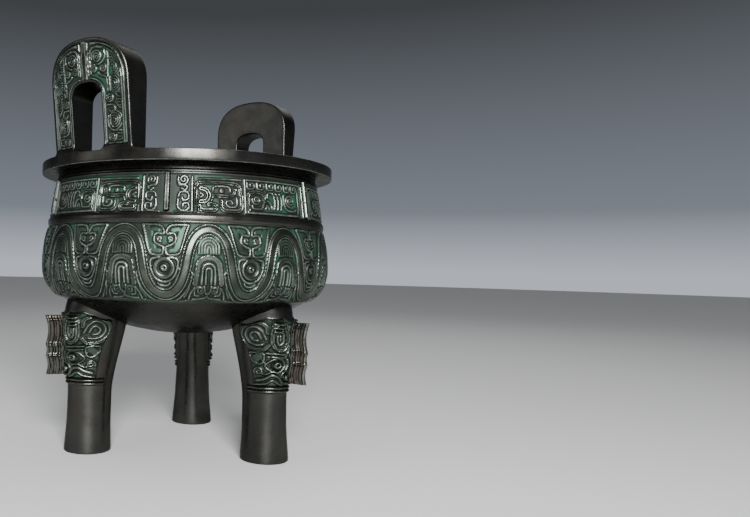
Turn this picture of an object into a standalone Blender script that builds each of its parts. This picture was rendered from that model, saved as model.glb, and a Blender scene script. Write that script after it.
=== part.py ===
"""A round bronze ding: a deep bowl on three legs, with two upright ears on its rim.

The vessel is one casting. Its bowl is turned, its ears and fins are flat outlines, its legs are
lofted, and the carving is laid on the bowl and legs as low raised strips. Azimuths are measured
round the bowl's axis from -Y towards +X, heights from the ground, and all lengths are in metres.
"""

import math

import bmesh
import bpy
import numpy as np
from mathutils import Vector

# Rim, neck and bands, from the top down
RIM_RADIUS = 0.150
RIM_THICKNESS = 0.0103
NECK_RADIUS = 0.1335
NECK_HEIGHT = 0.0066
RIM_LEDGE = 0.0105
BAND_TOP_RADIUS = 0.1350
BAND_FOOT_RADIUS = 0.1405
BAND_HEIGHT = 0.0378
RIDGE_HEIGHT = 0.0078
RIDGE_STAND = 0.0026
BELLY_TOP_RADIUS = 0.1413
BELLY_FOOT_RADIUS = 0.1330
BELLY_SWELL = 0.0137
WAVE_BAND_HEIGHT = 0.0687
WIDEST_DROP = 0.0340
WAVE_BAND_STEP = 0.0014
BOTTOM_SAG = 0.0387
BOTTOM_CLEARANCE = 0.1148
WALL = 0.0075

# Ears
EAR_WIDTH = 0.0940
EAR_HEIGHT = 0.0984
EAR_ARCH_HEIGHT = 0.0390
EAR_ARCH_POWER = 2.5
EAR_LEAN = 0.0120
EAR_BULGE = 0.0052
EAR_HOLE_WIDTH = 0.0366
EAR_HOLE_HEIGHT = 0.0600
EAR_HOLE_ARCH_HEIGHT = 0.0140
EAR_BORDER = 0.0046
EAR_HOLE_BORDER = 0.0034
EAR_PANEL_RISE = 0.0046
EAR_PANEL_DEPTH = 0.0012
EAR_RIB_WIDTH = 0.0024
EAR_RIB_GAP = 0.0018

# Legs: each section's share of the leg's height, how far its centre stands in from the foot's,
# and its half depth and half width
LEG_COUNT = 3
LEG_INSET = 0.0318
FOOT_RADIUS = 0.0236
LEG_SECTIONS = (
    (0.000, 0.0000, FOOT_RADIUS, FOOT_RADIUS),
    (0.195, 0.0007, 0.0219, 0.0206),
    (0.417, 0.0012, 0.0220, 0.0192),
    (0.554, 0.0024, 0.0250, 0.0190),
    (0.684, 0.0040, 0.0286, 0.0196),
    (0.795, 0.0052, 0.0315, 0.0222),
    (0.925, 0.0067, 0.0325, 0.0262),
    (0.990, 0.0077, 0.0295, 0.0270),
)

# Masks, fins and collars, the heights being shares of the leg's height
MASK_FOOT_SHARE = 0.479
MASK_TOP_SHARE = 0.870
MASK_STAND = 0.0026
CARVING_STAND = 0.0042
FIN_STAND = 0.0434
FIN_LEAN = 0.0022
FIN_THICKNESS = 0.0052
FIN_SCALLOP = 0.0028
FIN_NOTCHES = (0.0, 0.32, 0.505, 1.0)
COLLAR_SHARE = 0.453
COLLAR_WIDTH = 0.0023
COLLAR_GAP = 0.0010
COLLAR_STAND = 0.0022
COLLAR_HALF_ANGLE = math.radians(112)

# Flanges and carving on the bowl
FLANGE_COUNT = 6
FLANGE_WIDTH = 0.0046
FLANGE_STAND = 0.0030
FLANGE_MARGIN = 0.0018
WAVE_COUNT = 12
RIBBON_WIDTH = 0.0096
RIBBON_MARGIN = 0.0016
RIBBON_SWING = 0.0478
RELIEF = 0.0015
SINK = 0.0024

# Radii and levels worked out from the sizes above
RIM_INNER_RADIUS = NECK_RADIUS - RIM_LEDGE
BELLY_RADIUS = BELLY_FOOT_RADIUS + BELLY_SWELL
WAVE_FOOT_Z = BOTTOM_CLEARANCE + BOTTOM_SAG
WAVE_TOP_Z = WAVE_FOOT_Z + WAVE_BAND_HEIGHT
BAND_FOOT_Z = WAVE_TOP_Z + RIDGE_HEIGHT
BAND_TOP_Z = BAND_FOOT_Z + BAND_HEIGHT
LIP_Z = BAND_TOP_Z + NECK_HEIGHT
RIM_Z = LIP_Z + RIM_THICKNESS
WIDEST_Z = WAVE_TOP_Z - WIDEST_DROP
LEG_RADIUS = BELLY_FOOT_RADIUS - LEG_INSET
MASK_FOOT_Z = MASK_FOOT_SHARE * WAVE_FOOT_Z
MASK_TOP_Z = MASK_TOP_SHARE * WAVE_FOOT_Z
COLLAR_Z = COLLAR_SHARE * WAVE_FOOT_Z

TURN_STEPS = 40
LEG_SIDES = 14
SHARP_ANGLE = math.radians(35)


def clear_scene():
    """Removes every object, so that the script can be run again."""
    for item in list(bpy.data.objects):
        bpy.data.objects.remove(item, do_unlink=True)


def make_collection(name):
    """Returns a new collection linked to the scene."""
    collection = bpy.data.collections.new(name)
    bpy.context.scene.collection.children.link(collection)
    return collection


def bronze():
    """Dark patinated bronze."""
    material = bpy.data.materials.new("bronze")
    material.use_nodes = True
    shader = material.node_tree.nodes["Principled BSDF"]
    shader.inputs["Base Color"].default_value = (0.045, 0.055, 0.045, 1.0)
    shader.inputs["Metallic"].default_value = 0.85
    shader.inputs["Roughness"].default_value = 0.42
    return material


def smooth(mesh):
    """Shades a mesh smooth, with its sharp corners kept."""
    mesh.shade_smooth()
    mesh.set_sharp_from_angle(angle=SHARP_ANGLE)


def new_object(name, points, faces, collection, edges=()):
    """Makes a mesh object from points and faces, and turns its faces outwards."""
    mesh = bpy.data.meshes.new(name)
    mesh.from_pydata([tuple(point) for point in points], list(edges), faces)
    if faces:
        work = bmesh.new()
        work.from_mesh(mesh)
        bmesh.ops.recalc_face_normals(work, faces=work.faces)
        work.to_mesh(mesh)
        work.free()
        smooth(mesh)
    item = bpy.data.objects.new(name, mesh)
    collection.objects.link(item)
    return item


def as_cutter(item):
    """Hides a boolean's operand from renders."""
    item.hide_render = True
    item.display_type = "WIRE"
    return item


def boolean(target, operand, operation):
    """Adds an exact boolean of the operand to the target."""
    modifier = target.modifiers.new(operation.title() + "." + operand.name, "BOOLEAN")
    modifier.solver = "EXACT"
    modifier.operation = operation
    modifier.object = operand


def screw(item):
    """Turns a profile at +X round the Z axis."""
    modifier = item.modifiers.new("Turn", "SCREW")
    modifier.axis = "Z"
    modifier.angle = 2 * math.pi
    modifier.steps = TURN_STEPS
    modifier.render_steps = TURN_STEPS
    modifier.use_merge_vertices = True
    modifier.merge_threshold = 0.00001


def turned(name, profile, collection):
    """Makes a turned solid from (radius, height) points that start and end on the axis."""
    points = [(radius, 0.0, height) for radius, height in profile]
    edges = [(index, index + 1) for index in range(len(points) - 1)]
    item = new_object(name, points, [], collection, edges)
    screw(item)
    return item


def polar(azimuth, radius, height):
    """Returns the point at an azimuth, radius and height round the bowl's axis."""
    return Vector((radius * math.sin(azimuth), -radius * math.cos(azimuth), height))


def wall_radius(height):
    """Returns the plain outer radius of the wave band or the upper band at a height."""
    if height >= BAND_FOOT_Z:
        share = min(1.0, (height - BAND_FOOT_Z) / BAND_HEIGHT)
        return BAND_FOOT_RADIUS + share * (BAND_TOP_RADIUS - BAND_FOOT_RADIUS)
    if height >= WIDEST_Z:
        share = (height - WIDEST_Z) / WIDEST_DROP
        return BELLY_RADIUS - (BELLY_RADIUS - BELLY_TOP_RADIUS) * share**2
    share = (WIDEST_Z - height) / (WIDEST_Z - WAVE_FOOT_Z)
    return BELLY_RADIUS - (BELLY_RADIUS - BELLY_FOOT_RADIUS) * share**3


def bottom_arc(edge, inset, steps):
    """Returns points of the round bottom, inset from its outside, from an edge to the axis."""
    outer_edge = BELLY_FOOT_RADIUS - WAVE_BAND_STEP
    ball = (outer_edge**2 + BOTTOM_SAG**2) / (2 * BOTTOM_SAG)
    centre = BOTTOM_CLEARANCE + ball
    size = ball - inset
    reach = math.asin(edge / size)
    angles = [reach * (1 - step / steps) for step in range(steps + 1)]
    return [(size * math.sin(angle), centre - size * math.cos(angle)) for angle in angles]


def band_heights(steps):
    """Returns heights down the wave band, closer together where it turns in."""
    shares = [math.sin(0.5 * math.pi * step / steps) for step in range(steps + 1)]
    return [WAVE_TOP_Z - WAVE_BAND_HEIGHT * share for share in shares]


def body_profile():
    """Returns the outer profile of the bowl, from the axis over the rim to the axis below."""
    profile = [(0.0, RIM_Z), (RIM_RADIUS, RIM_Z), (RIM_RADIUS, LIP_Z), (NECK_RADIUS, LIP_Z)]
    profile += [(BAND_TOP_RADIUS, BAND_TOP_Z), (BAND_FOOT_RADIUS, BAND_FOOT_Z)]
    ridge = BAND_FOOT_RADIUS + RIDGE_STAND
    profile += [(ridge, BAND_FOOT_Z - 0.2 * RIDGE_HEIGHT), (ridge, WAVE_TOP_Z + 0.2 * RIDGE_HEIGHT)]
    profile += [(wall_radius(height), height) for height in band_heights(6)]
    return profile + bottom_arc(BELLY_FOOT_RADIUS - WAVE_BAND_STEP, 0.0, 4)


def hollow_profile():
    """Returns the profile of the bowl's inside, one wall within the outside."""
    top = RIM_Z + RIM_THICKNESS
    profile = [(0.0, top), (RIM_INNER_RADIUS, top), (RIM_INNER_RADIUS, LIP_Z)]
    profile += [(BAND_TOP_RADIUS - WALL, BAND_TOP_Z)]
    for height in (WAVE_TOP_Z, WIDEST_Z):
        profile.append((wall_radius(height) - WALL, height))
    return profile + bottom_arc(BELLY_FOOT_RADIUS, WALL, 4)


def strip(points, normals, width, low, high, closed=False):
    """Returns points and faces of a raised strip that follows points on a surface.

    The strip's sides stand square to the surface, from low under it to high over it.
    """
    count = len(points)
    rows = []
    for index in range(count):
        before = points[index - 1] if closed or index > 0 else points[index]
        after = points[(index + 1) % count] if closed or index < count - 1 else points[index]
        side = (after - before).cross(normals[index]).normalized() * (width / 2)
        base = points[index] + normals[index] * low
        crown = points[index] + normals[index] * high
        rows.append((base - side, base + side, crown + side, crown - side))
    corners = [corner for row in rows for corner in row]
    faces = []
    for index in range(count if closed else count - 1):
        first, second = 4 * index, 4 * ((index + 1) % count)
        for corner in range(4):
            following = (corner + 1) % 4
            faces.append((first + corner, first + following, second + following, second + corner))
    if not closed:
        last = 4 * (count - 1)
        faces.append((3, 2, 1, 0))
        faces.append((last, last + 1, last + 2, last + 3))
    return corners, faces


def boss(centre, normal, radius, low, high, sides):
    """Returns points and faces of a low round boss with a bevelled top."""
    across = normal.cross(Vector((0.0, 0.0, 1.0))).normalized()
    upward = normal.cross(across).normalized()
    shape = ((radius, low), (radius, 0.55 * high), (0.6 * radius, high))
    points = []
    for reach, lift in shape:
        for index in range(sides):
            angle = 2 * math.pi * index / sides
            offset = (across * math.cos(angle) + upward * math.sin(angle)) * reach
            points.append(centre + offset + normal * lift)
    faces = [tuple(range(sides - 1, -1, -1)), tuple(range(2 * sides, 3 * sides))]
    for ring in range(2):
        for index in range(sides):
            following = (index + 1) % sides
            low_ring, high_ring = ring * sides, (ring + 1) * sides
            faces.append((low_ring + index, low_ring + following,
                          high_ring + following, high_ring + index))
    return points, faces


def joined(shapes):
    """Joins several (points, faces) shapes into one."""
    points, faces = [], []
    for shape_points, shape_faces in shapes:
        start = len(points)
        points += shape_points
        faces += [tuple(start + index for index in face) for face in shape_faces]
    return points, faces


def wall_point(azimuth, height):
    """Returns a point on the plain bowl wall and the wall's normal there."""
    step = 0.0005
    above, below = wall_radius(height + step), wall_radius(height - step)
    tilt = math.atan2(below - above, 2 * step)
    level = math.cos(tilt)
    normal = Vector((level * math.sin(azimuth), -level * math.cos(azimuth), math.sin(tilt)))
    return polar(azimuth, wall_radius(height), height), normal


def wall_strip(path, width, lift=RELIEF, closed=False):
    """Returns a raised strip along (azimuth, height) points on the bowl wall."""
    places = [wall_point(azimuth, height) for azimuth, height in path]
    points, normals = [place[0] for place in places], [place[1] for place in places]
    return strip(points, normals, width, -SINK, lift, closed)


def wave_ribbon():
    """Returns the ribbon that winds up and down round the whole wave band."""
    reach = (RIBBON_WIDTH + 2 * RIBBON_MARGIN) / 2
    middle = (WAVE_TOP_Z + WAVE_FOOT_Z) / 2
    swing = WAVE_BAND_HEIGHT / 2 - reach
    period = 2 * math.pi / WAVE_COUNT
    path = []
    for index in range(8 * WAVE_COUNT):
        turn = index / 8
        azimuth = period * (turn + RIBBON_SWING * math.sin(4 * math.pi * turn))
        path.append((azimuth, middle - swing * math.cos(2 * math.pi * turn)))
    return wall_strip(path, RIBBON_WIDTH, closed=True)


def wave_details(index):
    """Returns the eye and frames in one hollow of the ribbon and the arch under its next crest."""
    period = 2 * math.pi / WAVE_COUNT
    hollow, crest = period * index, period * (index + 0.5)

    def place(azimuth, degrees, share):
        return azimuth + math.radians(degrees), WAVE_FOOT_Z + share * WAVE_BAND_HEIGHT

    shapes = []
    centre, normal = wall_point(*place(hollow, 0.0, 0.43))
    shapes.append(boss(centre, normal, 0.0086, -SINK, 1.1 * RELIEF, 7))
    for side in (-1, 1):
        frame = ((0.9, 0.62), (4.4, 0.64), (5.9, 0.92))
        path = [place(hollow, side * degrees, share) for degrees, share in frame]
        shapes.append(wall_strip(path, 0.0024))
    arch = ((-3.6, 0.20), (-2.6, 0.75), (2.6, 0.75), (3.6, 0.20))
    shapes.append(wall_strip([place(crest, *spot) for spot in arch], 0.0036))
    return shapes


def band_details(index):
    """Returns the carving of one half mask of the upper band, mirrored on every other half."""
    middle = 2 * math.pi * (index // 2) / LEG_COUNT + math.pi / LEG_COUNT
    side = 1 if index % 2 else -1

    def place(degrees, share):
        return middle + side * math.radians(degrees), BAND_FOOT_Z + share * BAND_HEIGHT

    paths = (
        ((9.8, 0.10), (9.8, 0.84), (25.0, 0.86)),
        ((12.6, 0.50), (12.6, 0.13), (17.6, 0.13)),
        ((20.2, 0.40), (20.2, 0.13), (26.4, 0.13), (26.4, 0.56)),
        ((36.6, 0.60), (30.6, 0.60), (30.6, 0.12), (53.5, 0.12), (53.5, 0.60)),
        ((40.5, 0.40), (46.5, 0.56)),
    )
    shapes = [wall_strip([place(*spot) for spot in path], 0.0026) for path in paths]
    centre, normal = wall_point(*place(19.0, 0.60))
    shapes.append(boss(centre, normal, 0.0032, -SINK, 1.2 * RELIEF, 6))
    return shapes


def flange(index):
    """Returns one upright flange of the upper band."""
    azimuth = 2 * math.pi * index / FLANGE_COUNT
    path = [(azimuth, BAND_FOOT_Z + FLANGE_MARGIN), (azimuth, BAND_TOP_Z - FLANGE_MARGIN)]
    return wall_strip(path, FLANGE_WIDTH, FLANGE_STAND)


def leg_section(height):
    """Returns the distance from the axis, half depth and half width of a leg at a height."""
    shares, *columns = zip(*LEG_SECTIONS)
    inset, depth, width = [np.interp(height / WAVE_FOOT_Z, shares, column) for column in columns]
    return LEG_RADIUS - inset, depth, width


def leg_point(angle, height):
    """Returns a point on the plain leg and its normal, the angle being 0 on the leg's outer side.

    The leg stands on -Y, and a positive angle turns towards +X.
    """
    distance, depth, width = leg_section(height)
    point = Vector((width * math.sin(angle), -distance - depth * math.cos(angle), height))
    normal = Vector((depth * math.sin(angle), -width * math.cos(angle), 0.0)).normalized()
    return point, normal


def leg_strip(path, width, lift, sink=SINK):
    """Returns a raised strip along (angle in degrees, height) points on the leg."""
    places = [leg_point(math.radians(degrees), height) for degrees, height in path]
    points, normals = [place[0] for place in places], [place[1] for place in places]
    return strip(points, normals, width, -sink, lift)


def leg_shaft():
    """Returns the plain leg, lofted through its sections."""
    points, faces = [], []
    for share, *_ in LEG_SECTIONS:
        for index in range(LEG_SIDES):
            points.append(leg_point(2 * math.pi * index / LEG_SIDES, share * WAVE_FOOT_Z)[0])
    for ring in range(len(LEG_SECTIONS) - 1):
        for index in range(LEG_SIDES):
            following = (index + 1) % LEG_SIDES
            low_ring, high_ring = ring * LEG_SIDES, (ring + 1) * LEG_SIDES
            faces.append((low_ring + index, low_ring + following,
                          high_ring + following, high_ring + index))
    last = (len(LEG_SECTIONS) - 1) * LEG_SIDES
    faces.append(tuple(range(LEG_SIDES - 1, -1, -1)))
    faces.append(tuple(range(last, last + LEG_SIDES)))
    return points, faces


def mask_height(share):
    """Returns the height at a share of the mask's own height."""
    return MASK_FOOT_Z + share * (MASK_TOP_Z - MASK_FOOT_Z)


def mask_plate():
    """Returns the plate that the mask is carved on, wrapped round the leg's outer side."""
    rows = ((0.00, 88), (0.50, 95), (0.82, 112))
    columns = 8
    layers = []
    for lift in (-SINK, MASK_STAND):
        for share, reach in rows:
            for column in range(columns + 1):
                angle = math.radians(reach * (2 * column / columns - 1))
                point, normal = leg_point(angle, mask_height(share))
                layers.append(point + normal * lift)
    wide, size = columns + 1, len(rows) * (columns + 1)
    faces = []
    for row in range(len(rows) - 1):
        for column in range(columns):
            corner = row * wide + column
            for start in (corner, corner + size):
                faces.append((start, start + 1, start + wide + 1))
                faces.append((start, start + wide + 1, start + wide))
    border = [column for column in range(wide)]
    border += [row * wide + columns for row in range(1, len(rows))]
    border += [(len(rows) - 1) * wide + column for column in range(columns - 1, -1, -1)]
    border += [row * wide for row in range(len(rows) - 2, 0, -1)]
    for index, corner in enumerate(border):
        following = border[(index + 1) % len(border)]
        faces.append((corner, following, following + size, corner + size))
    return layers, faces


def mask_carving():
    """Returns the horns, brows, eyes, nostrils and lip of the mask."""
    shapes = []
    for side in (-1, 1):
        lines = (
            (((16, 0.96), (17, 0.60), (44, 0.58), (44, 0.96)), 0.0040),
            (((58, 0.96), (90, 0.88), (92, 0.60), (62, 0.57)), 0.0044),
            (((18, 0.47), (58, 0.46)), 0.0024),
            (((30, 0.11), (48, 0.16), (76, 0.08)), 0.0030),
        )
        for line, width in lines:
            path = [(side * degrees, mask_height(share)) for degrees, share in line]
            shapes.append(leg_strip(path, width, CARVING_STAND))
        bosses = ((38, 0.33, 0.0044, 0.0030), (15, 0.13, 0.0036, 0.0024))
        for degrees, share, radius, extra in bosses:
            centre, normal = leg_point(math.radians(side * degrees), mask_height(share))
            shapes.append(boss(centre, normal, radius, -SINK, CARVING_STAND + extra, 5))
    return joined(shapes)


def collar():
    """Returns the two rings under the mask, which stop short of the leg's inner side."""
    shapes = []
    reach = math.degrees(COLLAR_HALF_ANGLE)
    for level in (0, 1):
        height = COLLAR_Z + (level - 0.5) * (COLLAR_WIDTH + COLLAR_GAP)
        path = [(reach * (step / 4 - 1), height) for step in range(9)]
        shapes.append(leg_strip(path, COLLAR_WIDTH, COLLAR_STAND))
    return joined(shapes)


def flat_outline(name, loops, thickness, collection):
    """Fills closed outlines in the XY plane, extrudes them both ways and makes them a mesh."""
    curve = bpy.data.curves.new(name, "CURVE")
    curve.dimensions = "2D"
    curve.fill_mode = "BOTH"
    curve.extrude = thickness / 2
    for loop in loops:
        spline = curve.splines.new("POLY")
        spline.points.add(len(loop) - 1)
        spline.use_cyclic_u = True
        for point, spot in zip(spline.points, loop):
            point.co = (spot[0], spot[1], 0.0, 1.0)
    source = bpy.data.objects.new(name + ".outline", curve)
    collection.objects.link(source)
    graph = bpy.context.evaluated_depsgraph_get()
    mesh = bpy.data.meshes.new_from_object(source.evaluated_get(graph))
    bpy.data.objects.remove(source, do_unlink=True)
    return mesh


def welded(name, mesh, collection, place):
    """Welds a mesh, moves its points with the place function and makes it an object."""
    work = bmesh.new()
    work.from_mesh(mesh)
    bmesh.ops.remove_doubles(work, verts=work.verts, dist=0.000001)
    for vertex in work.verts:
        vertex.co = place(vertex.co)
    bmesh.ops.recalc_face_normals(work, faces=work.faces)
    work.to_mesh(mesh)
    work.free()
    smooth(mesh)
    item = bpy.data.objects.new(name, mesh)
    collection.objects.link(item)
    return item


def leg_fin(collection):
    """Makes the tall fin on the mask's nose line, with three scallops along its outer edge."""
    low, high = mask_height(0.04), mask_height(1.0)
    root = leg_section(low)[0]
    reach = LEG_RADIUS + FIN_STAND
    loop = [(root, low), (reach, low)]
    for start, end in zip(FIN_NOTCHES, FIN_NOTCHES[1:]):
        for step in (1, 2, 3):
            share = start + (end - start) * step / 3
            depth = 2 * FIN_SCALLOP * (end - start) * math.sin(math.pi * step / 3)
            loop.append((reach + FIN_LEAN * share - depth, low + share * (high - low)))
    loop.append((root, high))
    mesh = flat_outline("fin", [loop], FIN_THICKNESS, collection)
    return welded("fin", mesh, collection, lambda spot: Vector((spot.z, -spot.x, spot.y)))


def leg(index, cutters):
    """Makes one leg with its mask at its place under the bowl."""
    shaft = new_object("leg_%d" % index, *leg_shaft(), cutters)
    parts = [
        new_object("mask_plate_%d" % index, *mask_plate(), cutters),
        new_object("mask_carving_%d" % index, *mask_carving(), cutters),
        new_object("collar_%d" % index, *collar(), cutters),
        leg_fin(cutters),
    ]
    for part in parts:
        part.parent = shaft
        boolean(shaft, as_cutter(part), "UNION")
    shaft.rotation_euler = (0.0, 0.0, 2 * math.pi * index / LEG_COUNT)
    return as_cutter(shaft)


def arch_loop(width, height, arch, foot, steps):
    """Returns an outline with straight sides and a squared half-elliptical top, from its left foot.

    The shares of its half width and of its arch height, each to the arch's power, add up to 1.
    """
    loop = [(-width / 2, foot)]
    for step in range(steps + 1):
        angle = math.pi * (1 - step / steps)
        across = math.copysign(abs(math.cos(angle)) ** (2 / EAR_ARCH_POWER), math.cos(angle))
        rise = max(math.sin(angle), 0.0) ** (2 / EAR_ARCH_POWER)
        loop.append((width / 2 * across, height - arch + arch * rise))
    loop.append((width / 2, foot))
    return loop


def ear_base():
    """Returns how far the ear's outer corners stand from the bowl's axis at the rim."""
    return math.sqrt((RIM_RADIUS - 0.0004) ** 2 - (EAR_WIDTH / 2) ** 2)


def ear_slab(name, inset, collection):
    """Makes the block that gives the ear its flat inner face and leaning, bulging outer face."""
    low, high = -RIM_THICKNESS, EAR_HEIGHT + RIM_THICKNESS
    columns = 7
    points = []
    for height in (low, high):
        for column in range(columns + 1):
            share = 2 * column / columns - 1
            outer = ear_base() + EAR_LEAN * height / EAR_HEIGHT + EAR_BULGE * (1 - share**2) - inset
            across = 1.02 * share * EAR_WIDTH / 2
            points.append((across, -outer, RIM_Z + height))
            points.append((across, -RIM_INNER_RADIUS - 0.0006, RIM_Z + height))
    stride = 2 * (columns + 1)
    faces = []
    for column in range(columns):
        corner = 2 * column
        faces.append((corner, corner + 2, corner + stride + 2, corner + stride))
        faces.append((corner + 1, corner + stride + 1, corner + stride + 3, corner + 3))
        faces.append((corner, corner + 1, corner + 3, corner + 2))
        top = corner + stride
        faces.append((top, top + 2, top + 3, top + 1))
    last = 2 * columns
    faces.append((0, stride, stride + 1, 1))
    faces.append((last, last + 1, last + stride + 1, last + stride))
    return new_object(name, points, faces, collection)


def ear_prism(name, loops, near, collection):
    """Makes a block with the ear's outline, from a distance off the bowl's axis outwards."""
    depth = RIM_RADIUS
    mesh = flat_outline(name, loops, depth, collection)
    return welded(name, mesh, collection,
                  lambda spot: Vector((spot.x, spot.z - depth / 2 - near, spot.y + RIM_Z)))


def ear_recess(name, cutters):
    """Makes the cutter of the sunken panel, which leaves a plain border and two ribs standing."""
    panel = arch_loop(EAR_WIDTH - 2 * EAR_BORDER, EAR_HEIGHT - EAR_BORDER,
                      EAR_ARCH_HEIGHT - EAR_BORDER / 2, EAR_PANEL_RISE, 13)
    inside = arch_loop(EAR_HOLE_WIDTH + 2 * EAR_HOLE_BORDER, EAR_HOLE_HEIGHT + EAR_HOLE_BORDER,
                       EAR_HOLE_ARCH_HEIGHT, EAR_PANEL_RISE, 7)
    middle = RIM_INNER_RADIUS + WALL
    recess = ear_prism(name + "_recess", [panel + inside[::-1]], middle, cutters)
    floor = ear_slab(name + "_floor", EAR_PANEL_DEPTH, cutters)
    boolean(recess, as_cutter(floor), "DIFFERENCE")
    for side in (-1, 1):
        near, far = EAR_RIB_GAP / 2, EAR_RIB_GAP / 2 + EAR_RIB_WIDTH
        low, high = EAR_HOLE_HEIGHT - EAR_HOLE_BORDER, EAR_HEIGHT
        bar = [(side * near, low), (side * far, low), (side * far, high), (side * near, high)]
        rib = ear_prism("%s_rib_%d" % (name, side), [bar], middle - WALL / 2, cutters)
        boolean(recess, as_cutter(rib), "DIFFERENCE")
        rib.parent = recess
    floor.parent = recess
    return recess


def ear(index, cutters):
    """Makes one upright ear with its hole and the sunken panel on its outer face."""
    name = "ear_%d" % index
    outline = arch_loop(EAR_WIDTH, EAR_HEIGHT, EAR_ARCH_HEIGHT, -RIM_THICKNESS / 2, 13)
    hole = arch_loop(EAR_HOLE_WIDTH, EAR_HOLE_HEIGHT, EAR_HOLE_ARCH_HEIGHT, -RIM_THICKNESS / 4, 7)
    body = ear_prism(name, [outline, hole], RIM_INNER_RADIUS - WALL, cutters)
    slab = ear_slab(name + "_slab", 0.0, cutters)
    boolean(body, as_cutter(slab), "INTERSECT")
    recess = ear_recess(name, cutters)
    boolean(body, as_cutter(recess), "DIFFERENCE")
    slab.parent = body
    recess.parent = body
    body.rotation_euler = (0.0, 0.0, (index - 0.5) * math.pi)
    return as_cutter(body)


def vessel(collection, cutters):
    """Makes the whole casting: body and legs, hollowed, then the ears and the carving."""
    body = turned("ding_vessel", body_profile(), collection)
    for index in range(LEG_COUNT):
        boolean(body, leg(index, cutters), "UNION")
    boolean(body, as_cutter(turned("hollow", hollow_profile(), cutters)), "DIFFERENCE")
    for index in range(2):
        boolean(body, ear(index, cutters), "UNION")
    carvings = {
        "wave_ribbon": [wave_ribbon()],
        "wave_carving": [shape for index in range(WAVE_COUNT) for shape in wave_details(index)],
        "band_carving": [shape for index in range(2 * LEG_COUNT) for shape in band_details(index)],
        "flanges": [flange(index) for index in range(FLANGE_COUNT)],
    }
    for name, shapes in carvings.items():
        boolean(body, as_cutter(new_object(name, *joined(shapes), cutters)), "UNION")
    body.data.materials.append(bronze())
    return body


def main():
    """Builds the vessel."""
    clear_scene()
    collection = make_collection("ding")
    cutters = make_collection("cutters")
    vessel(collection, cutters)


main()
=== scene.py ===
"""The finished surface of a round bronze ding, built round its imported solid.

Azimuths run round the bowl's axis from -Y towards +X and heights start at the ground. Sizes are in
metres. Carving is drawn flat in millimetres, as strokes, and each surface takes its drawing as a
field of heights, so every line of it is real relief.
"""

from __future__ import annotations

import logging
import math
from dataclasses import dataclass, field
from enum import Enum

import bpy
import numpy as np
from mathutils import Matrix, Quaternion, Vector


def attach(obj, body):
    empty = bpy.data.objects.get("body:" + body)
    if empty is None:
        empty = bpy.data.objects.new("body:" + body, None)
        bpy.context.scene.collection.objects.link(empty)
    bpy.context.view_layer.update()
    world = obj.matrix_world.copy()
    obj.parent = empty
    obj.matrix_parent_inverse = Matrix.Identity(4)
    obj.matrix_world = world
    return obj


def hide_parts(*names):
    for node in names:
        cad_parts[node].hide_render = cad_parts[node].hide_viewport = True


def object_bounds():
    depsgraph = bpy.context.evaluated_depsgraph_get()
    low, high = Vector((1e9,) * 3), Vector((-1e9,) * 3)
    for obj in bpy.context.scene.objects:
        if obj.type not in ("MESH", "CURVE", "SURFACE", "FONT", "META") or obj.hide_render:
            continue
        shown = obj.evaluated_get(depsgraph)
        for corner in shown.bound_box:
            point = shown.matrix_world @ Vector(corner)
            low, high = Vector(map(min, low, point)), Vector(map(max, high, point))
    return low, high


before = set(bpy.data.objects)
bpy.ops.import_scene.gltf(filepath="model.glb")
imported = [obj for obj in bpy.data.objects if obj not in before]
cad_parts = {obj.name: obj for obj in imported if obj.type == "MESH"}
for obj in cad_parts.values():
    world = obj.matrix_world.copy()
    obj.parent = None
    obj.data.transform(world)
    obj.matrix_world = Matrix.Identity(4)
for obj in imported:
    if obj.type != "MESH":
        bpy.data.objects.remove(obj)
cad_low, cad_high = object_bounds()

Array = np.ndarray
Color = tuple[float, float, float]
log = logging.getLogger("ding")

NODE = "ding_vessel"
BODY = "root"
MM = 0.001

RIM_RADIUS = cad_high.y
RIM_INNER_RADIUS = 0.1230
NECK_RADIUS = 0.1335
BAND_TOP_RADIUS = 0.1350
BAND_FOOT_RADIUS = 0.1405
RIDGE_STAND = 0.0026
BELLY_TOP_RADIUS = 0.1413
BELLY_RADIUS = 0.1467
BELLY_FOOT_RADIUS = 0.1330
WAVE_STEP = 0.0014
BOTTOM_Z = 0.1148
WAVE_FOOT_Z = 0.1535
WIDEST_Z = 0.1882
WAVE_TOP_Z = 0.2222
BAND_FOOT_Z = 0.2300
BAND_TOP_Z = 0.2678
LIP_Z = 0.2744
RIM_Z = 0.2847
WALL = 0.0075
LEG_COUNT = 3
WAVE_COUNT = 12
TIGHT_ROUNDING = 0.002


def ramp(value: Array) -> Array:
    """Returns a smooth step from 0 to 1: with t the value kept within 0 to 1, t squared times 3 - 2t.

    Args:
        value: Any numbers.

    Returns:
        The steps, in the same shape.
    """
    share = np.clip(value, 0.0, 1.0)
    return share * share * (3.0 - 2.0 * share)


def blurred(values: Array, reach: int, wrap: bool) -> Array:
    """Returns a grid averaged over a square of neighbours.

    Args:
        values: Grid of numbers.
        reach: How many neighbours each way are averaged.
        wrap: Whether the grid's columns close on themselves.

    Returns:
        The averaged grid.
    """
    columns = "wrap" if wrap else "edge"
    padded = np.pad(values, ((reach, reach), (0, 0)), mode="edge")
    padded = np.pad(padded, ((0, 0), (reach, reach)), mode=columns)
    total = np.zeros_like(values)
    for row in range(2 * reach + 1):
        for column in range(2 * reach + 1):
            total += padded[row:row + values.shape[0], column:column + values.shape[1]]
    return total / (2 * reach + 1) ** 2


# Paths of strokes, in millimetres

def line(*spots: tuple[float, float]) -> Array:
    """Returns a path of straight runs through the spots."""
    return np.array(spots, float)


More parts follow.
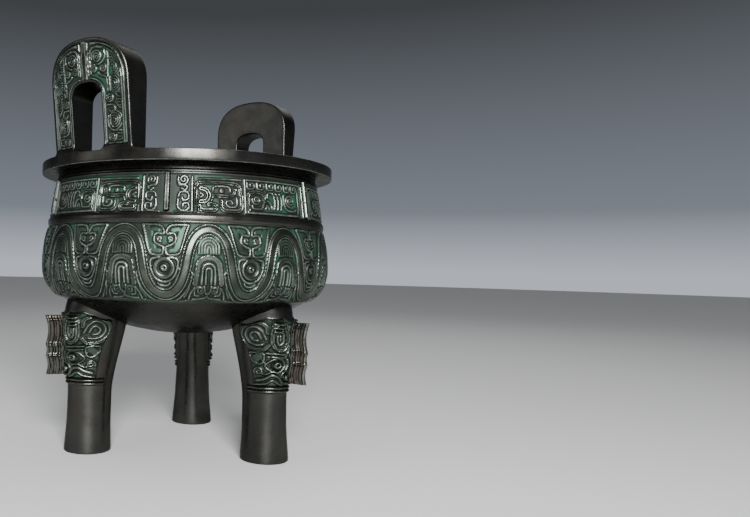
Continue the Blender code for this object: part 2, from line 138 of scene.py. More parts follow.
def curve(*spots: tuple[float, float], steps: int = 12) -> Array:
    """Returns a smooth path through the spots, a Catmull-Rom spline.

    Between two spots the path is half of (2p1 + (p2 - p0) t + (2p0 - 5p1 + 4p2 - p3) t^2 +
    (3p1 - p0 - 3p2 + p3) t^3), with p0 and p3 the spots before and after.

    Args:
        spots: The places that the path goes through.
        steps: Points on each run between two spots.

    Returns:
        The path's points.
    """
    knots = np.array([spots[0], *spots, spots[-1]], float)
    t = np.linspace(0.0, 1.0, steps, endpoint=False)[None, :, None]
    p0, p1, p2, p3 = (knots[start:len(knots) - 3 + start, None, :] for start in range(4))
    cubic = (3 * p1 - p0 - 3 * p2 + p3) * t**3
    runs = 0.5 * (2 * p1 + (p2 - p0) * t + (2 * p0 - 5 * p1 + 4 * p2 - p3) * t**2 + cubic)
    return np.vstack([runs.reshape(-1, 2), knots[-1:]])


def spiral(center: tuple[float, float], outer: float, turns: float, start: float,
           inner: float = 0.6, tall: float = 1.0) -> Array:
    """Returns a spiral whose radius falls evenly with its angle.

    Args:
        center: The middle of the spiral.
        outer: Its first radius.
        turns: How many turns it makes, negative for the other way round.
        start: The angle of its first point in degrees.
        inner: Its last radius.
        tall: How much taller than wide it is.

    Returns:
        The path's points.
    """
    share = np.linspace(0.0, 1.0, int(26 * abs(turns)) + 2)
    angle = math.radians(start) + 2 * math.pi * turns * share
    radius = outer + (inner - outer) * share
    return np.stack([center[0] + radius * np.cos(angle),
                     center[1] + tall * radius * np.sin(angle)], 1)


def arch(half: float, top: float, foot: float, rise: float, flare: float = 0.0) -> Array:
    """Returns half of an arch that stands on the line where the drawing is mirrored.

    The crown is a quarter ellipse from the mirror line, and the leg runs down from its end.

    Args:
        half: Half width under the crown.
        top: Where the crown is.
        foot: Where the leg ends.
        rise: Height of the quarter ellipse.
        flare: How far the leg leans out at its foot.

    Returns:
        The path's points.
    """
    angle = np.linspace(0.0, math.pi / 2, 12)
    crown = np.stack([half * np.sin(angle), top + rise * (1 - np.cos(angle))], 1)
    return np.vstack([crown, [(half + flare, foot)]])


class Cut(Enum):
    """How a stroke changes the height of what it crosses."""

    RAISED = "raised"
    SUNK = "sunk"


@dataclass(frozen=True)
class Stroke:
    """One line of a carving: its path, half width, height or depth, and the width of its slopes.

    Furrow is the share of its height that a thin groove takes along its middle.
    """

    path: Array
    half: float = 0.75
    lift: float = 1.0
    cut: Cut = Cut.RAISED
    soft: float = 0.6
    furrow: float = 0.0


def distance(spots: Array, path: Array) -> Array:
    """Returns how far each spot is from a path, the least of its distances to the path's runs.

    Args:
        spots: N spots.
        path: The path's points, or one point alone.

    Returns:
        N distances.
    """
    if len(path) == 1:
        return np.linalg.norm(spots - path[0], axis=1)
    start, span = path[:-1], np.diff(path, axis=0)
    length = np.maximum((span**2).sum(1), 1e-12)
    share = ((spots[:, None, :] - start) * span).sum(2) / length
    nearest = start + np.clip(share, 0.0, 1.0)[..., None] * span
    return np.sqrt(((spots[:, None, :] - nearest) ** 2).sum(2).min(1))


@dataclass
class Drawing:
    """A flat carving: strokes that raise or sink the ground.

    Bold widens every raised stroke, and moat is the depth of the groove that runs beside them.
    """

    bold: float = 1.0
    moat: float = 0.0
    blur: float = 0.5
    strokes: list[Stroke] = field(default_factory=list)

    def add(self, path: Array, half: float = 0.75, lift: float = 1.0,
            cut: Cut = Cut.RAISED, soft: float = 0.6, furrow: float = 0.0) -> None:
        """Adds one stroke."""
        wide = half * (self.bold if cut is Cut.RAISED else 1.0)
        self.strokes.append(Stroke(path, wide, lift, cut, soft, furrow))

    def curves(self, *rows: tuple[object, ...]) -> None:
        """Adds smooth strokes, each a row of its half width, height and spots."""
        for half, lift, *spots in rows:
            self.add(curve(*spots), half, lift)

    def lines(self, *rows: tuple[object, ...]) -> None:
        """Adds straight strokes, each a row of its half width, height and spots."""
        for half, lift, *spots in rows:
            self.add(line(*spots), half, lift)

    def heights(self, across: Array, down: Array) -> Array:
        """Returns the height of the carving over its ground at each place.

        A raised stroke lifts the ground to its own height, with a smooth step as wide as its soft
        edge round its half width, less a bell curve along its middle where it is furrowed. A sunk
        stroke is taken off what is there. The moat is a bell curve half a millimetre outside the
        nearest raised edge.

        Args:
            across: Places across the drawing, in millimetres.
            down: Places down the drawing, in millimetres.

        Returns:
            Heights in millimetres.
        """
        spots = np.stack([across.ravel(), down.ravel()], 1)
        level = np.zeros(len(spots))
        beside = np.full(len(spots), 9.0)
        for stroke in self.strokes:
            reach = stroke.half + stroke.soft + 1.3
            low, high = stroke.path.min(0) - reach, stroke.path.max(0) + reach
            near = np.flatnonzero(((spots >= low) & (spots <= high)).all(1))
            away = distance(spots[near], stroke.path)
            share = ramp((stroke.half + 0.5 * stroke.soft - away) / stroke.soft)
            if stroke.cut is Cut.RAISED:
                share = share * (1.0 - stroke.furrow * np.exp(-((away / 0.42) ** 2)))
                level[near] = np.maximum(level[near], stroke.lift * share)
                beside[near] = np.minimum(beside[near], away - stroke.half - 0.5 * stroke.soft)
            else:
                level[near] -= stroke.lift * share
        level -= self.moat * np.exp(-(((beside - 0.45) / self.blur) ** 2))
        return level.reshape(across.shape)


def ribboned(away: Array, plateau: float, groove: float, edge: float, lift: float) -> Array:
    """Returns the height of a band with a thin ridge along each side.

    Args:
        away: Distances from the band's middle line.
        plateau: Where the groove beside the ridge lies.
        groove: How deep that groove is.
        edge: Half width of the whole band.
        lift: Height of the band.

    Returns:
        Heights.
    """
    body = lift * ramp((edge + 0.4 - away) / 0.8)
    return body - groove * np.exp(-(((away - plateau) / 0.55) ** 2))


def placed(name: str, data: bpy.types.ID) -> bpy.types.Object:
    """Puts new data into the scene, as an object at the origin.

    Args:
        name: The object's name.
        data: Its mesh, light or camera.

    Returns:
        The object.
    """
    thing = bpy.data.objects.new(name, data)
    bpy.context.scene.collection.objects.link(thing)
    return thing


@dataclass
class Skin:
    """Points, faces and surface shares of one closed piece.

    The shares at each point are carved (0 plain, 1 ornament), relief (0 ground, 1 raised) and
    crest (below 0 in a groove, which gets painted shade and dark wax, above 0 on an edge, which
    is painted bright as worn metal and as a highlight).
    """

    points: Array
    faces: list[Array]
    carved: Array
    relief: Array
    crest: Array

    def outward(self) -> None:
        """Turns the faces outwards, by the sign of the volume that they enclose."""
        volume = 0.0
        for block in self.faces:
            for corner in range(1, block.shape[1] - 1):
                a, b, c = (self.points[block[:, index]] for index in (0, corner, corner + 1))
                volume += np.einsum("ij,ij->", a, np.cross(b, c))
        if volume < 0:
            self.faces = [block[:, ::-1] for block in self.faces]

    def build(self, name: str, material: bpy.types.Material) -> bpy.types.Object:
        """Makes the piece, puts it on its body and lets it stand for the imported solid.

        Args:
            name: The piece's name.
            material: Its finish.

        Returns:
            The object.
        """
        self.outward()
        mesh = bpy.data.meshes.new(name)
        loops = np.concatenate([block.ravel() for block in self.faces]).astype(np.int32)
        sizes = np.concatenate([np.full(len(block), block.shape[1]) for block in self.faces])
        starts = np.concatenate([[0], np.cumsum(sizes)[:-1]]).astype(np.int32)
        mesh.vertices.add(len(self.points))
        mesh.vertices.foreach_set("co", self.points.astype(np.float32).ravel())
        mesh.loops.add(len(loops))
        mesh.loops.foreach_set("vertex_index", loops)
        mesh.polygons.add(len(sizes))
        mesh.polygons.foreach_set("loop_start", starts)
        mesh.update(calc_edges=True)
        for label in ("carved", "relief", "crest"):
            layer = mesh.attributes.new(label, "FLOAT", "POINT")
            layer.data.foreach_set("value", getattr(self, label).astype(np.float32).ravel())
        mesh.shade_smooth()
        mesh.set_sharp_from_angle(angle=math.radians(72))
        mesh.materials.append(material)
        piece = placed(name, mesh)
        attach(piece, BODY)
        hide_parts(NODE)
        log.info("%s: %d triangles", name, int((sizes - 2).sum()))
        return piece


def grid_faces(rows: int, columns: int, wrap: bool, start: int = 0) -> Array:
    """Returns the four-cornered faces of a grid of points.

    Args:
        rows: Rows of points.
        columns: Points in a row.
        wrap: Whether the last column joins the first.
        start: Number of the grid's first point.

    Returns:
        K x 4 point numbers.
    """
    number = start + np.arange(rows * columns).reshape(rows, columns)
    if wrap:
        number = np.hstack([number, number[:, :1]])
    corners = (number[:-1, :-1], number[:-1, 1:], number[1:, 1:], number[1:, :-1])
    return np.stack([corner.ravel() for corner in corners], 1)


def strip_faces(first: Array, second: Array) -> Array:
    """Returns the faces between two rows of point numbers of the same length.

    Args:
        first: Point numbers of one row.
        second: Point numbers of the next.

    Returns:
        K x 4 point numbers.
    """
    return np.stack([first[:-1], first[1:], second[1:], second[:-1]], 1)


def closed_patch(front: Array, back: Array, shares: tuple[Array, Array, Array]) -> Skin:
    """Returns a closed piece between a fine front grid and a coarse back grid.

    Both grids have the same columns. Strips close their first and last rows, and one flat face
    closes each end.

    Args:
        front: R x C x 3 points of the seen side.
        back: B x C x 3 points of the hidden side.
        shares: The front's carved, relief and crest grids.

    Returns:
        The piece.
    """
    rows, columns = front.shape[:2]
    count = rows * columns
    back_rows = len(back)
    number = np.arange(count).reshape(rows, columns)
    hidden = count + np.arange(back_rows * columns).reshape(back_rows, columns)
    faces = [
        grid_faces(rows, columns, False),
        grid_faces(back_rows, columns, False, count)[:, ::-1],
        strip_faces(hidden[0], number[0]),
        strip_faces(number[-1], hidden[-1]),
        np.concatenate([number[:, 0], hidden[::-1, 0]])[None, :],
        np.concatenate([number[::-1, -1], hidden[:, -1]])[None, :],
    ]
    fill = np.zeros(back_rows * columns)
    full = [np.concatenate([share.ravel(), fill]) for share in shares]
    return Skin(np.vstack([front.reshape(-1, 3), back.reshape(-1, 3)]), faces, *full)


def capped_tube(rings: Array, ends: tuple[Array, Array], shares: tuple[Array, Array, Array]) -> Skin:
    """Returns a closed piece of rings of points, with a fan to one point at each end.

    Args:
        rings: R x C x 3 points, each row a closed ring.
        ends: The points that close the first and the last ring.
        shares: The rings' carved, relief and crest grids.

    Returns:
        The piece.
    """
    rows, columns = rings.shape[:2]
    count = rows * columns
    ring = np.arange(columns)
    after = np.roll(ring, -1)
    last = count - columns
    faces = [
        grid_faces(rows, columns, True),
        np.stack([after, ring, np.full(columns, count)], 1),
        np.stack([last + ring, last + after, np.full(columns, count + 1)], 1),
    ]
    points = np.vstack([rings.reshape(-1, 3), ends[0], ends[1]])
    full = [np.concatenate([share.ravel(), share[0, :1], share[-1, :1]]) for share in shares]
    return Skin(points, faces, *full)


def turned(azimuths: Array, radii: Array, heights: Array) -> Array:
    """Returns points round the bowl's axis: radius times (sin, -cos) of the azimuth, and height.

    Args:
        azimuths: Azimuths in radians.
        radii: Radii, in a shape that fits the azimuths.
        heights: Heights, in a shape that fits too.

    Returns:
        Points, with their three coordinates last.
    """
    parts = np.broadcast_arrays(radii * np.sin(azimuths), -radii * np.cos(azimuths), heights)
    return np.stack(parts, -1)


def relief_shares(heights: Array, carved: Array, lift: float, wrap: bool = False
                  ) -> tuple[Array, Array, Array]:
    """Returns the carved, relief and crest shares of a field of heights.

    Relief is the height over the carving's own height. Crest is what stands over, or lies under,
    the average of its neighbours.

    Args:
        heights: Heights in millimetres.
        carved: 1 where there is ornament, 0 on plain metal.
        lift: The carving's own height.
        wrap: Whether the columns close on themselves.

    Returns:
        The three grids.
    """
    crest = (heights - blurred(heights, 2, wrap)) / (0.42 * lift)
    return carved, np.clip(heights / lift, 0.0, 1.3), np.clip(crest, -1.0, 1.0)


def rounded(corners: list[tuple[float, float, float]], step: float) -> tuple[Array, Array]:
    """Returns a profile with its corners rounded, as points at even steps, and its edges' brightening.

    Each corner is a quadratic curve from its radius before the corner to its radius after it. The
    edge brightening, partly wear and partly a painted highlight, is half a wave of a sine over each
    tight rounding that turns outwards.

    Args:
        corners: Radius, height and rounding of each corner, in metres.
        step: Length between two points.

    Returns:
        N x 2 points and N wear shares, high on the outer roundings.
    """
    spots = np.array([corner[:2] for corner in corners])
    t = np.linspace(0.0, 1.0, 4)[:, None]
    path, edge_wear_and_sheen, tight = [spots[:1]], [np.zeros(1)], [np.zeros(1)]
    for before, corner, after, size in zip(spots, spots[1:], spots[2:], corners[1:-1]):
        back, on = before - corner, after - corner
        reach = min(size[2], 0.45 * np.linalg.norm(back), 0.45 * np.linalg.norm(on))
        first = corner + back / np.linalg.norm(back) * reach
        second = corner + on / np.linalg.norm(on) * reach
        path.append((1 - t) ** 2 * first + 2 * t * (1 - t) * corner + t**2 * second)
        turn = (back[1] * on[0] - back[0] * on[1]) / (np.linalg.norm(back) * np.linalg.norm(on))
        tight.append(np.full(len(t), float(reach < TIGHT_ROUNDING)))
        edge_wear_and_sheen.append(np.clip(turn, 0.0, 1.0) * np.sin(math.pi * t[:, 0]) * tight[-1])
    path.append(spots[-1:])
    edge_wear_and_sheen.append(np.zeros(1))
    tight.append(np.zeros(1))
    points, edges, kept = np.vstack(path), np.concatenate(edge_wear_and_sheen), np.concatenate(tight)
    lengths = np.concatenate([[0.0], np.cumsum(np.linalg.norm(np.diff(points, axis=0), axis=1))])
    keep = np.concatenate([[True], np.diff(lengths) > 1e-7])
    points, edges, lengths, kept = points[keep], edges[keep], lengths[keep], kept[keep]
    even = np.linspace(0.0, lengths[-1], int(lengths[-1] / step) + 1)
    even = np.union1d(even, lengths[kept > 0.5])
    profile = np.stack([np.interp(even, lengths, points[:, axis]) for axis in (0, 1)], 1)
    return profile, np.interp(even, lengths, edges)


def wall_radius(height: Array) -> Array:
    """Returns the plain outer radius of the two carved bands.

    The upper band is a straight cone. The belly falls in from its widest level with the square of
    the distance above it, and with the cube of the distance below it.

    Args:
        height: Heights over the ground.

    Returns:
        Radii.
    """
    share = np.clip((height - BAND_FOOT_Z) / (BAND_TOP_Z - BAND_FOOT_Z), -0.1, 1.0)
    upper = BAND_FOOT_RADIUS + share * (BAND_TOP_RADIUS - BAND_FOOT_RADIUS)
    rise = (height - WIDEST_Z) / (WAVE_TOP_Z - WIDEST_Z)
    over = BELLY_RADIUS - (BELLY_RADIUS - BELLY_TOP_RADIUS) * rise**2
    fall = (WIDEST_Z - height) / (WIDEST_Z - WAVE_FOOT_Z)
    under = BELLY_RADIUS - (BELLY_RADIUS - BELLY_FOOT_RADIUS) * fall**3
    return np.where(height >= WAVE_TOP_Z + 0.004, upper, np.where(height >= WIDEST_Z, over, under))


def bottom_height(radius: Array, inset: float) -> Array:
    """Returns the height of the bowl's round bottom, a part of a ball, inset from its outside.

    Args:
        radius: Distances from the axis.
        inset: How far inside the outer face.

    Returns:
        Heights.
    """
    edge = BELLY_FOOT_RADIUS - WAVE_STEP
    sag = WAVE_FOOT_Z - BOTTOM_Z
    ball = (edge**2 + sag**2) / (2 * sag)
    return BOTTOM_Z + ball - np.sqrt((ball - inset) ** 2 - radius**2)


# Finishes

class Sketch:
    """A material's nodes, added one by one."""

    def __init__(self, name: str) -> None:
        """Starts a material with an empty Principled shader.

        Args:
            name: The material's name.
        """
        self.material = bpy.data.materials.new(name)
        self.material.use_nodes = True
        self.tree = self.material.node_tree
        self.shader = self.tree.nodes["Principled BSDF"]
        self.place = self.tree.nodes.new("ShaderNodeTexCoord").outputs["Object"]

    def feed(self, socket: bpy.types.NodeSocket, value: object) -> None:
        """Links a socket, or sets its value.

        Args:
            socket: The socket.
            value: Another node's socket, a colour or a number.
        """
        if isinstance(value, bpy.types.NodeSocket):
            self.tree.links.new(value, socket)
        elif isinstance(value, tuple):
            socket.default_value = (*value, 1.0)[:len(socket.default_value)]
        else:
            socket.default_value = value

    def share(self, label: str) -> bpy.types.NodeSocket:
        """Returns one of the piece's own shares.

        Args:
            label: Which share.

        Returns:
            Its socket.
        """
        node = self.tree.nodes.new("ShaderNodeAttribute")
        node.attribute_name = label
        return node.outputs["Fac"]

    def noise(self, scale: float, detail: float = 4.0, rough: float = 0.55,
              stretch: Color = (1.0, 1.0, 1.0)) -> bpy.types.NodeSocket:
        """Returns noise on object coordinates, drawn out where stretch is under 1.

        Args:
            scale: How fine it is.
            detail: How many finer layers it has.
            rough: How strong those are.
            stretch: Its scale along each axis.

        Returns:
            Its socket.
        """
        mapping = self.tree.nodes.new("ShaderNodeMapping")
        self.feed(mapping.inputs["Vector"], self.place)
        mapping.inputs["Scale"].default_value = stretch
        node = self.tree.nodes.new("ShaderNodeTexNoise")
        self.feed(node.inputs["Vector"], mapping.outputs["Vector"])
        node.inputs["Scale"].default_value = scale
        node.inputs["Detail"].default_value = detail
        node.inputs["Roughness"].default_value = rough
        return node.outputs["Fac"]

    def spread(self, value: object, low: float, high: float, least: float = 0.0,
               most: float = 1.0) -> bpy.types.NodeSocket:
        """Returns a value spread smoothly from low..high to least..most.

        Args:
            value: The value.
            low: Where the spread starts.
            high: Where it ends.
            least: What the start becomes.
            most: What the end becomes.

        Returns:
            The result's socket.
        """
        node = self.tree.nodes.new("ShaderNodeMapRange")
        node.interpolation_type = "SMOOTHSTEP"
        for label, number in (("Value", value), ("From Min", low), ("From Max", high),
                              ("To Min", least), ("To Max", most)):
            self.feed(node.inputs[label], number)
        return node.outputs["Result"]

    def math(self, operation: str, first: object, second: object) -> bpy.types.NodeSocket:
        """Returns two values joined by a step of arithmetic, kept within 0 to 1.

        Args:
            operation: The step's name.
            first: First value.
            second: Second value.

        Returns:
            The result's socket.
        """
        node = self.tree.nodes.new("ShaderNodeMath")
        node.operation = operation
        node.use_clamp = True
        self.feed(node.inputs[0], first)
        self.feed(node.inputs[1], second)
        return node.outputs[0]

    def blend(self, share: object, first: object, second: object) -> bpy.types.NodeSocket:
        """Returns a colour that goes from the first to the second with the share.

        Args:
            share: Share of the second colour.
            first: First colour.
            second: Second colour.

        Returns:
            The colour's socket.
        """
        node = self.tree.nodes.new("ShaderNodeMix")
        node.data_type = "RGBA"
        self.feed(node.inputs[0], share)
        self.feed(node.inputs[6], first)
        self.feed(node.inputs[7], second)
        return node.outputs[2]

    def between(self, share: object, first: object, second: object) -> bpy.types.NodeSocket:
        """Returns a number that goes from the first to the second with the share.

        Args:
            share: Share of the second number.
            first: First number.
            second: Second number.

        Returns:
            The number's socket.
        """
        node = self.tree.nodes.new("ShaderNodeMix")
        node.data_type = "FLOAT"
        self.feed(node.inputs[0], share)
        self.feed(node.inputs[2], first)
        self.feed(node.inputs[3], second)
        return node.outputs[0]

    def bump(self, height: object, strength: float, depth: float) -> None:
        """Adds a bump to the shader's normal.

        Args:
            height: Its height.
            strength: How strongly it shows.
            depth: Its depth in metres.
        """
        node = self.tree.nodes.new("ShaderNodeBump")
        node.inputs["Strength"].default_value = strength
        node.inputs["Distance"].default_value = depth
        self.feed(node.inputs["Height"], height)
        self.feed(self.shader.inputs["Normal"], node.outputs["Normal"])


@dataclass(frozen=True)
class BronzeFinish:
    """Patinated bronze: dark satin metal, green in its carving, grooves darkened by painted shade and dark
    wax, and edges brightened by wear and a painted highlight.
    """

    name: str
    metal: Color = (0.028, 0.029, 0.026)
    metal_light: Color = (0.048, 0.049, 0.044)
    brown: Color = (0.085, 0.052, 0.038)
    raised: Color = (0.074, 0.090, 0.075)
    raised_dark: Color = (0.024, 0.033, 0.026)
    ground: Color = (0.010, 0.052, 0.031)
    ground_dark: Color = (0.008, 0.014, 0.010)
    # groove: near-black colour for grooves and hollows, painted shade that is partly dark wax as well
    groove: Color = (0.0020, 0.0030, 0.0024)
    # Bright edge colour: partly worn metal, partly a painted highlight
    worn_and_sheen: Color = (0.50, 0.52, 0.47)
    grazing: Color = (0.42, 0.43, 0.42)
    brown_share: float = 0.25
    streak: float = 0.0

    def surface(self, sketch: Sketch) -> bpy.types.NodeSocket:
        """Returns the base colour: metal on plain parts, green ground under grey-green relief, painted shade
        in grooves.

        Args:
            sketch: The material's nodes.

        Returns:
            The colour's socket.
        """
        mottle = sketch.spread(sketch.noise(16.0, 6.0), 0.35, 0.68)
        cloud = sketch.spread(sketch.noise(34.0, 5.0), 0.36, 0.66)
        metal = sketch.blend(mottle, self.metal, self.metal_light)
        if self.streak:
            run = sketch.spread(sketch.noise(60.0, 4.0, 0.6, (1.0, 1.0, 0.09)), 0.45, 0.75)
            metal = sketch.blend(sketch.math("MULTIPLY", run, self.streak), metal, self.metal_light)
        tint = sketch.spread(sketch.noise(24.0, 3.0), 0.46, 0.66, 0.0, self.brown_share)
        metal = sketch.blend(tint, metal, self.brown)
        raised = sketch.blend(cloud, self.raised_dark, self.raised)
        raised = sketch.blend(tint, raised, self.brown)
        verdigris = sketch.spread(sketch.noise(26.0, 4.0), 0.42, 0.62)
        ground = sketch.blend(verdigris, self.ground_dark, self.ground)
        ornament = sketch.blend(sketch.spread(sketch.share("relief"), 0.25, 0.95), ground, raised)
        color = sketch.blend(sketch.share("carved"), metal, ornament)
        # Painted shade: where the surface lies under its neighbours, the colour goes nearly to the groove's
        # black, partly as dark wax
        pit = sketch.spread(sketch.share("crest"), -0.02, -0.38)
        return sketch.blend(sketch.math("MULTIPLY", pit, 0.96), color, self.groove)

    def material(self) -> bpy.types.Material:
        """Returns the finish as a material."""
        sketch = Sketch(self.name)
        color = self.surface(sketch)
        # Convex edges are painted bright, partly as worn metal and partly as a painted highlight, and made
        # less rough
        patch = sketch.spread(sketch.noise(130.0, 4.0), 0.38, 0.62, 0.35, 1.0)
        worn_and_sheen = sketch.math("MULTIPLY", sketch.spread(sketch.share("crest"), 0.30, 1.0), patch)
        color = sketch.blend(sketch.math("MULTIPLY", worn_and_sheen, 0.36), color, self.worn_and_sheen)
        sketch.feed(sketch.shader.inputs["Base Color"], color)
        carved, relief = sketch.share("carved"), sketch.share("relief")
        ground = sketch.math("SUBTRACT", carved, relief)
        dull = sketch.between(carved, 0.27, 0.23)
        dull = sketch.between(ground, dull, 0.62)
        dull = sketch.between(worn_and_sheen, dull, 0.28)
        drift = sketch.spread(sketch.noise(70.0, 5.0), 0.3, 0.7, -0.06, 0.07)
        sketch.feed(sketch.shader.inputs["Roughness"], sketch.math("ADD", dull, drift))
        metallic = sketch.between(ground, sketch.between(carved, 0.92, 0.86), 0.20)
        sketch.feed(sketch.shader.inputs["Metallic"], metallic)
        sketch.shader.inputs["Specular IOR Level"].default_value = 0.45
        sketch.shader.inputs["Specular Tint"].default_value = (*self.grazing, 1.0)
        sketch.shader.inputs["Coat Weight"].default_value = 0.10
        sketch.shader.inputs["Coat Roughness"].default_value = 0.32
        grain = sketch.math("ADD", sketch.math("MULTIPLY", sketch.noise(1500.0, 2.0), 0.4),
                            sketch.math("MULTIPLY", sketch.noise(260.0, 5.0), 0.6))
        sketch.bump(grain, 0.24, 0.00022)
        return sketch.material


# Sub-assemblies

@dataclass
class Bowl:
    """The plain turned body: round bottom, ridge, lip, flat rim and smooth inside."""

    columns: int = 240
    step: float = 0.0085
    tuck: float = 0.0026
    edge: float = 0.0009

    def profile(self) -> tuple[Array, Array]:
        """Returns the profile from the axis under the bowl round to the axis in it, and its edge wear and
        painted highlight.

        Under the two carved bands it runs a little inside their skins.

        Returns:
            N x 2 radii and heights, and N shares of edge wear and painted highlight.
        """
        foot = BELLY_FOOT_RADIUS - WAVE_STEP
        under = [(radius, float(bottom_height(radius, 0.0)), 0.02)
                 for radius in np.linspace(0.0, foot - 0.0008, 9)]
        under.append((foot, WAVE_FOOT_Z - 0.0004, 0.0004))
        levels = np.linspace(WAVE_FOOT_Z + 0.0016, WAVE_TOP_Z - 0.0012, 7)
        inside = [(float(wall_radius(z)) - self.tuck, float(z), 0.004) for z in levels]
        ridge = BAND_FOOT_RADIUS + RIDGE_STAND
        moulding = [
            (BELLY_TOP_RADIUS - 0.0004, WAVE_TOP_Z + 0.0002, 0.0003),
            (ridge - 0.0008, WAVE_TOP_Z + 0.0004, 0.0005),
            (ridge, WAVE_TOP_Z + 0.0022, 0.0012),
            (ridge - 0.0002, BAND_FOOT_Z - 0.0022, 0.0012),
            (ridge - 0.0012, BAND_FOOT_Z - 0.0008, 0.0005),
            (ridge - 0.0016, BAND_FOOT_Z + 0.0002, 0.0003),
            (BAND_FOOT_RADIUS - 0.0004, BAND_FOOT_Z + 0.0004, 0.0003),
        ]
        neck = [
            (BAND_FOOT_RADIUS - self.tuck, BAND_FOOT_Z + 0.0020, 0.001),
            (BAND_TOP_RADIUS - self.tuck, BAND_TOP_Z, 0.002),
            (NECK_RADIUS - self.tuck, LIP_Z - 0.0004, 0.0003),
            (NECK_RADIUS - self.tuck + 0.0002, LIP_Z, 0.0002),
        ]
        rim = [
            (RIM_RADIUS, LIP_Z, self.edge),
            (RIM_RADIUS, RIM_Z, self.edge),
            (RIM_INNER_RADIUS, RIM_Z, 1.4 * self.edge),
            (RIM_INNER_RADIUS, LIP_Z, 0.004),
            (BAND_TOP_RADIUS - WALL, BAND_TOP_Z - 0.001, 0.006),
            (BELLY_TOP_RADIUS - WALL, WAVE_TOP_Z, 0.012),
            (BELLY_RADIUS - WALL, WIDEST_Z, 0.012),
            (BELLY_RADIUS - WALL - 0.001, WIDEST_Z - 0.012, 0.008),
        ]
        floor = [(radius, float(bottom_height(radius, WALL)), 0.012)
                 for radius in np.linspace(BELLY_FOOT_RADIUS - 0.003, 0.0, 9)]
        return rounded(under + inside + moulding + neck + rim + floor, self.step)

    def build(self, material: bpy.types.Material) -> None:
        """Makes the body: its profile turned round the axis, closed with a fan at each pole.

        Args:
            material: Its finish.
        """
        profile, edge_wear_and_sheen = self.profile()
        azimuths = np.linspace(0.0, 2 * math.pi, self.columns, endpoint=False)
        rings = turned(azimuths[None, :], profile[1:-1, :1], profile[1:-1, 1:])
        ends = tuple(np.array([[0.0, 0.0, profile[index, 1]]]) for index in (0, -1))
        blank = np.zeros(rings.shape[:2])
        # The rim's tight outer roundings are painted bright, partly as wear and partly as a painted
        # highlight
        crest = np.broadcast_to(edge_wear_and_sheen[1:-1, None], blank.shape)
        capped_tube(rings, ends, (blank, blank, crest)).build("bowl_body", material)


@dataclass
class RingBand:
    """A carved band round the bowl, made in three equal lengths."""

    name: str
    columns: int
    step: float
    lift: float
    back: float = 0.0024

    def rows(self) -> tuple[Array, Array]:
        """Returns the radii and heights of the band's rows, top to bottom, at even steps."""
        raise NotImplementedError

    def field(self, azimuths: Array, heights: Array) -> tuple[Array, Array]:
        """Returns the carving's heights in millimetres and its carved share."""
        raise NotImplementedError

    def even_rows(self, radius: Array, height: Array) -> tuple[Array, Array]:
        """Returns a profile resampled at even steps along its length.

        Args:
            radius: The profile's radii.
            height: Its heights.

        Returns:
            Even radii and heights.
        """
        run = np.hypot(np.diff(radius), np.diff(height))
        length = np.concatenate([[0.0], np.cumsum(run)])
        even = np.linspace(0.0, length[-1], int(length[-1] / self.step) + 1)
        return np.interp(even, length, radius), np.interp(even, length, height)

    def build(self, material: bpy.types.Material) -> None:
        """Makes the lengths: wall points moved along the wall's normal by the field of heights.

        Args:
            material: Its finish.
        """
        radius, height = self.rows()
        slope_r, slope_z = np.gradient(radius), np.gradient(height)
        size = np.hypot(slope_r, slope_z)
        out_r, out_z = -slope_z / size, slope_r / size
        for index in range(LEG_COUNT):
            start = 2 * math.pi * index / LEG_COUNT
            azimuths = start + np.linspace(0.0, 2 * math.pi / LEG_COUNT, self.columns)
            field_mm, carved = self.field(azimuths[None, :], height[:, None])
            lift = field_mm * MM
            front = turned(azimuths[None, :], radius[:, None] + lift * out_r[:, None],
                           height[:, None] + lift * out_z[:, None])
            rows = np.linspace(0, len(radius) - 1, 7).round().astype(int)
            hidden = turned(azimuths[None, :], (radius - self.back * out_r)[rows, None],
                            (height - self.back * out_z)[rows, None])
            shares = relief_shares(field_mm, carved, self.lift)
            closed_patch(front, hidden, shares).build("%s_%d" % (self.name, index), material)


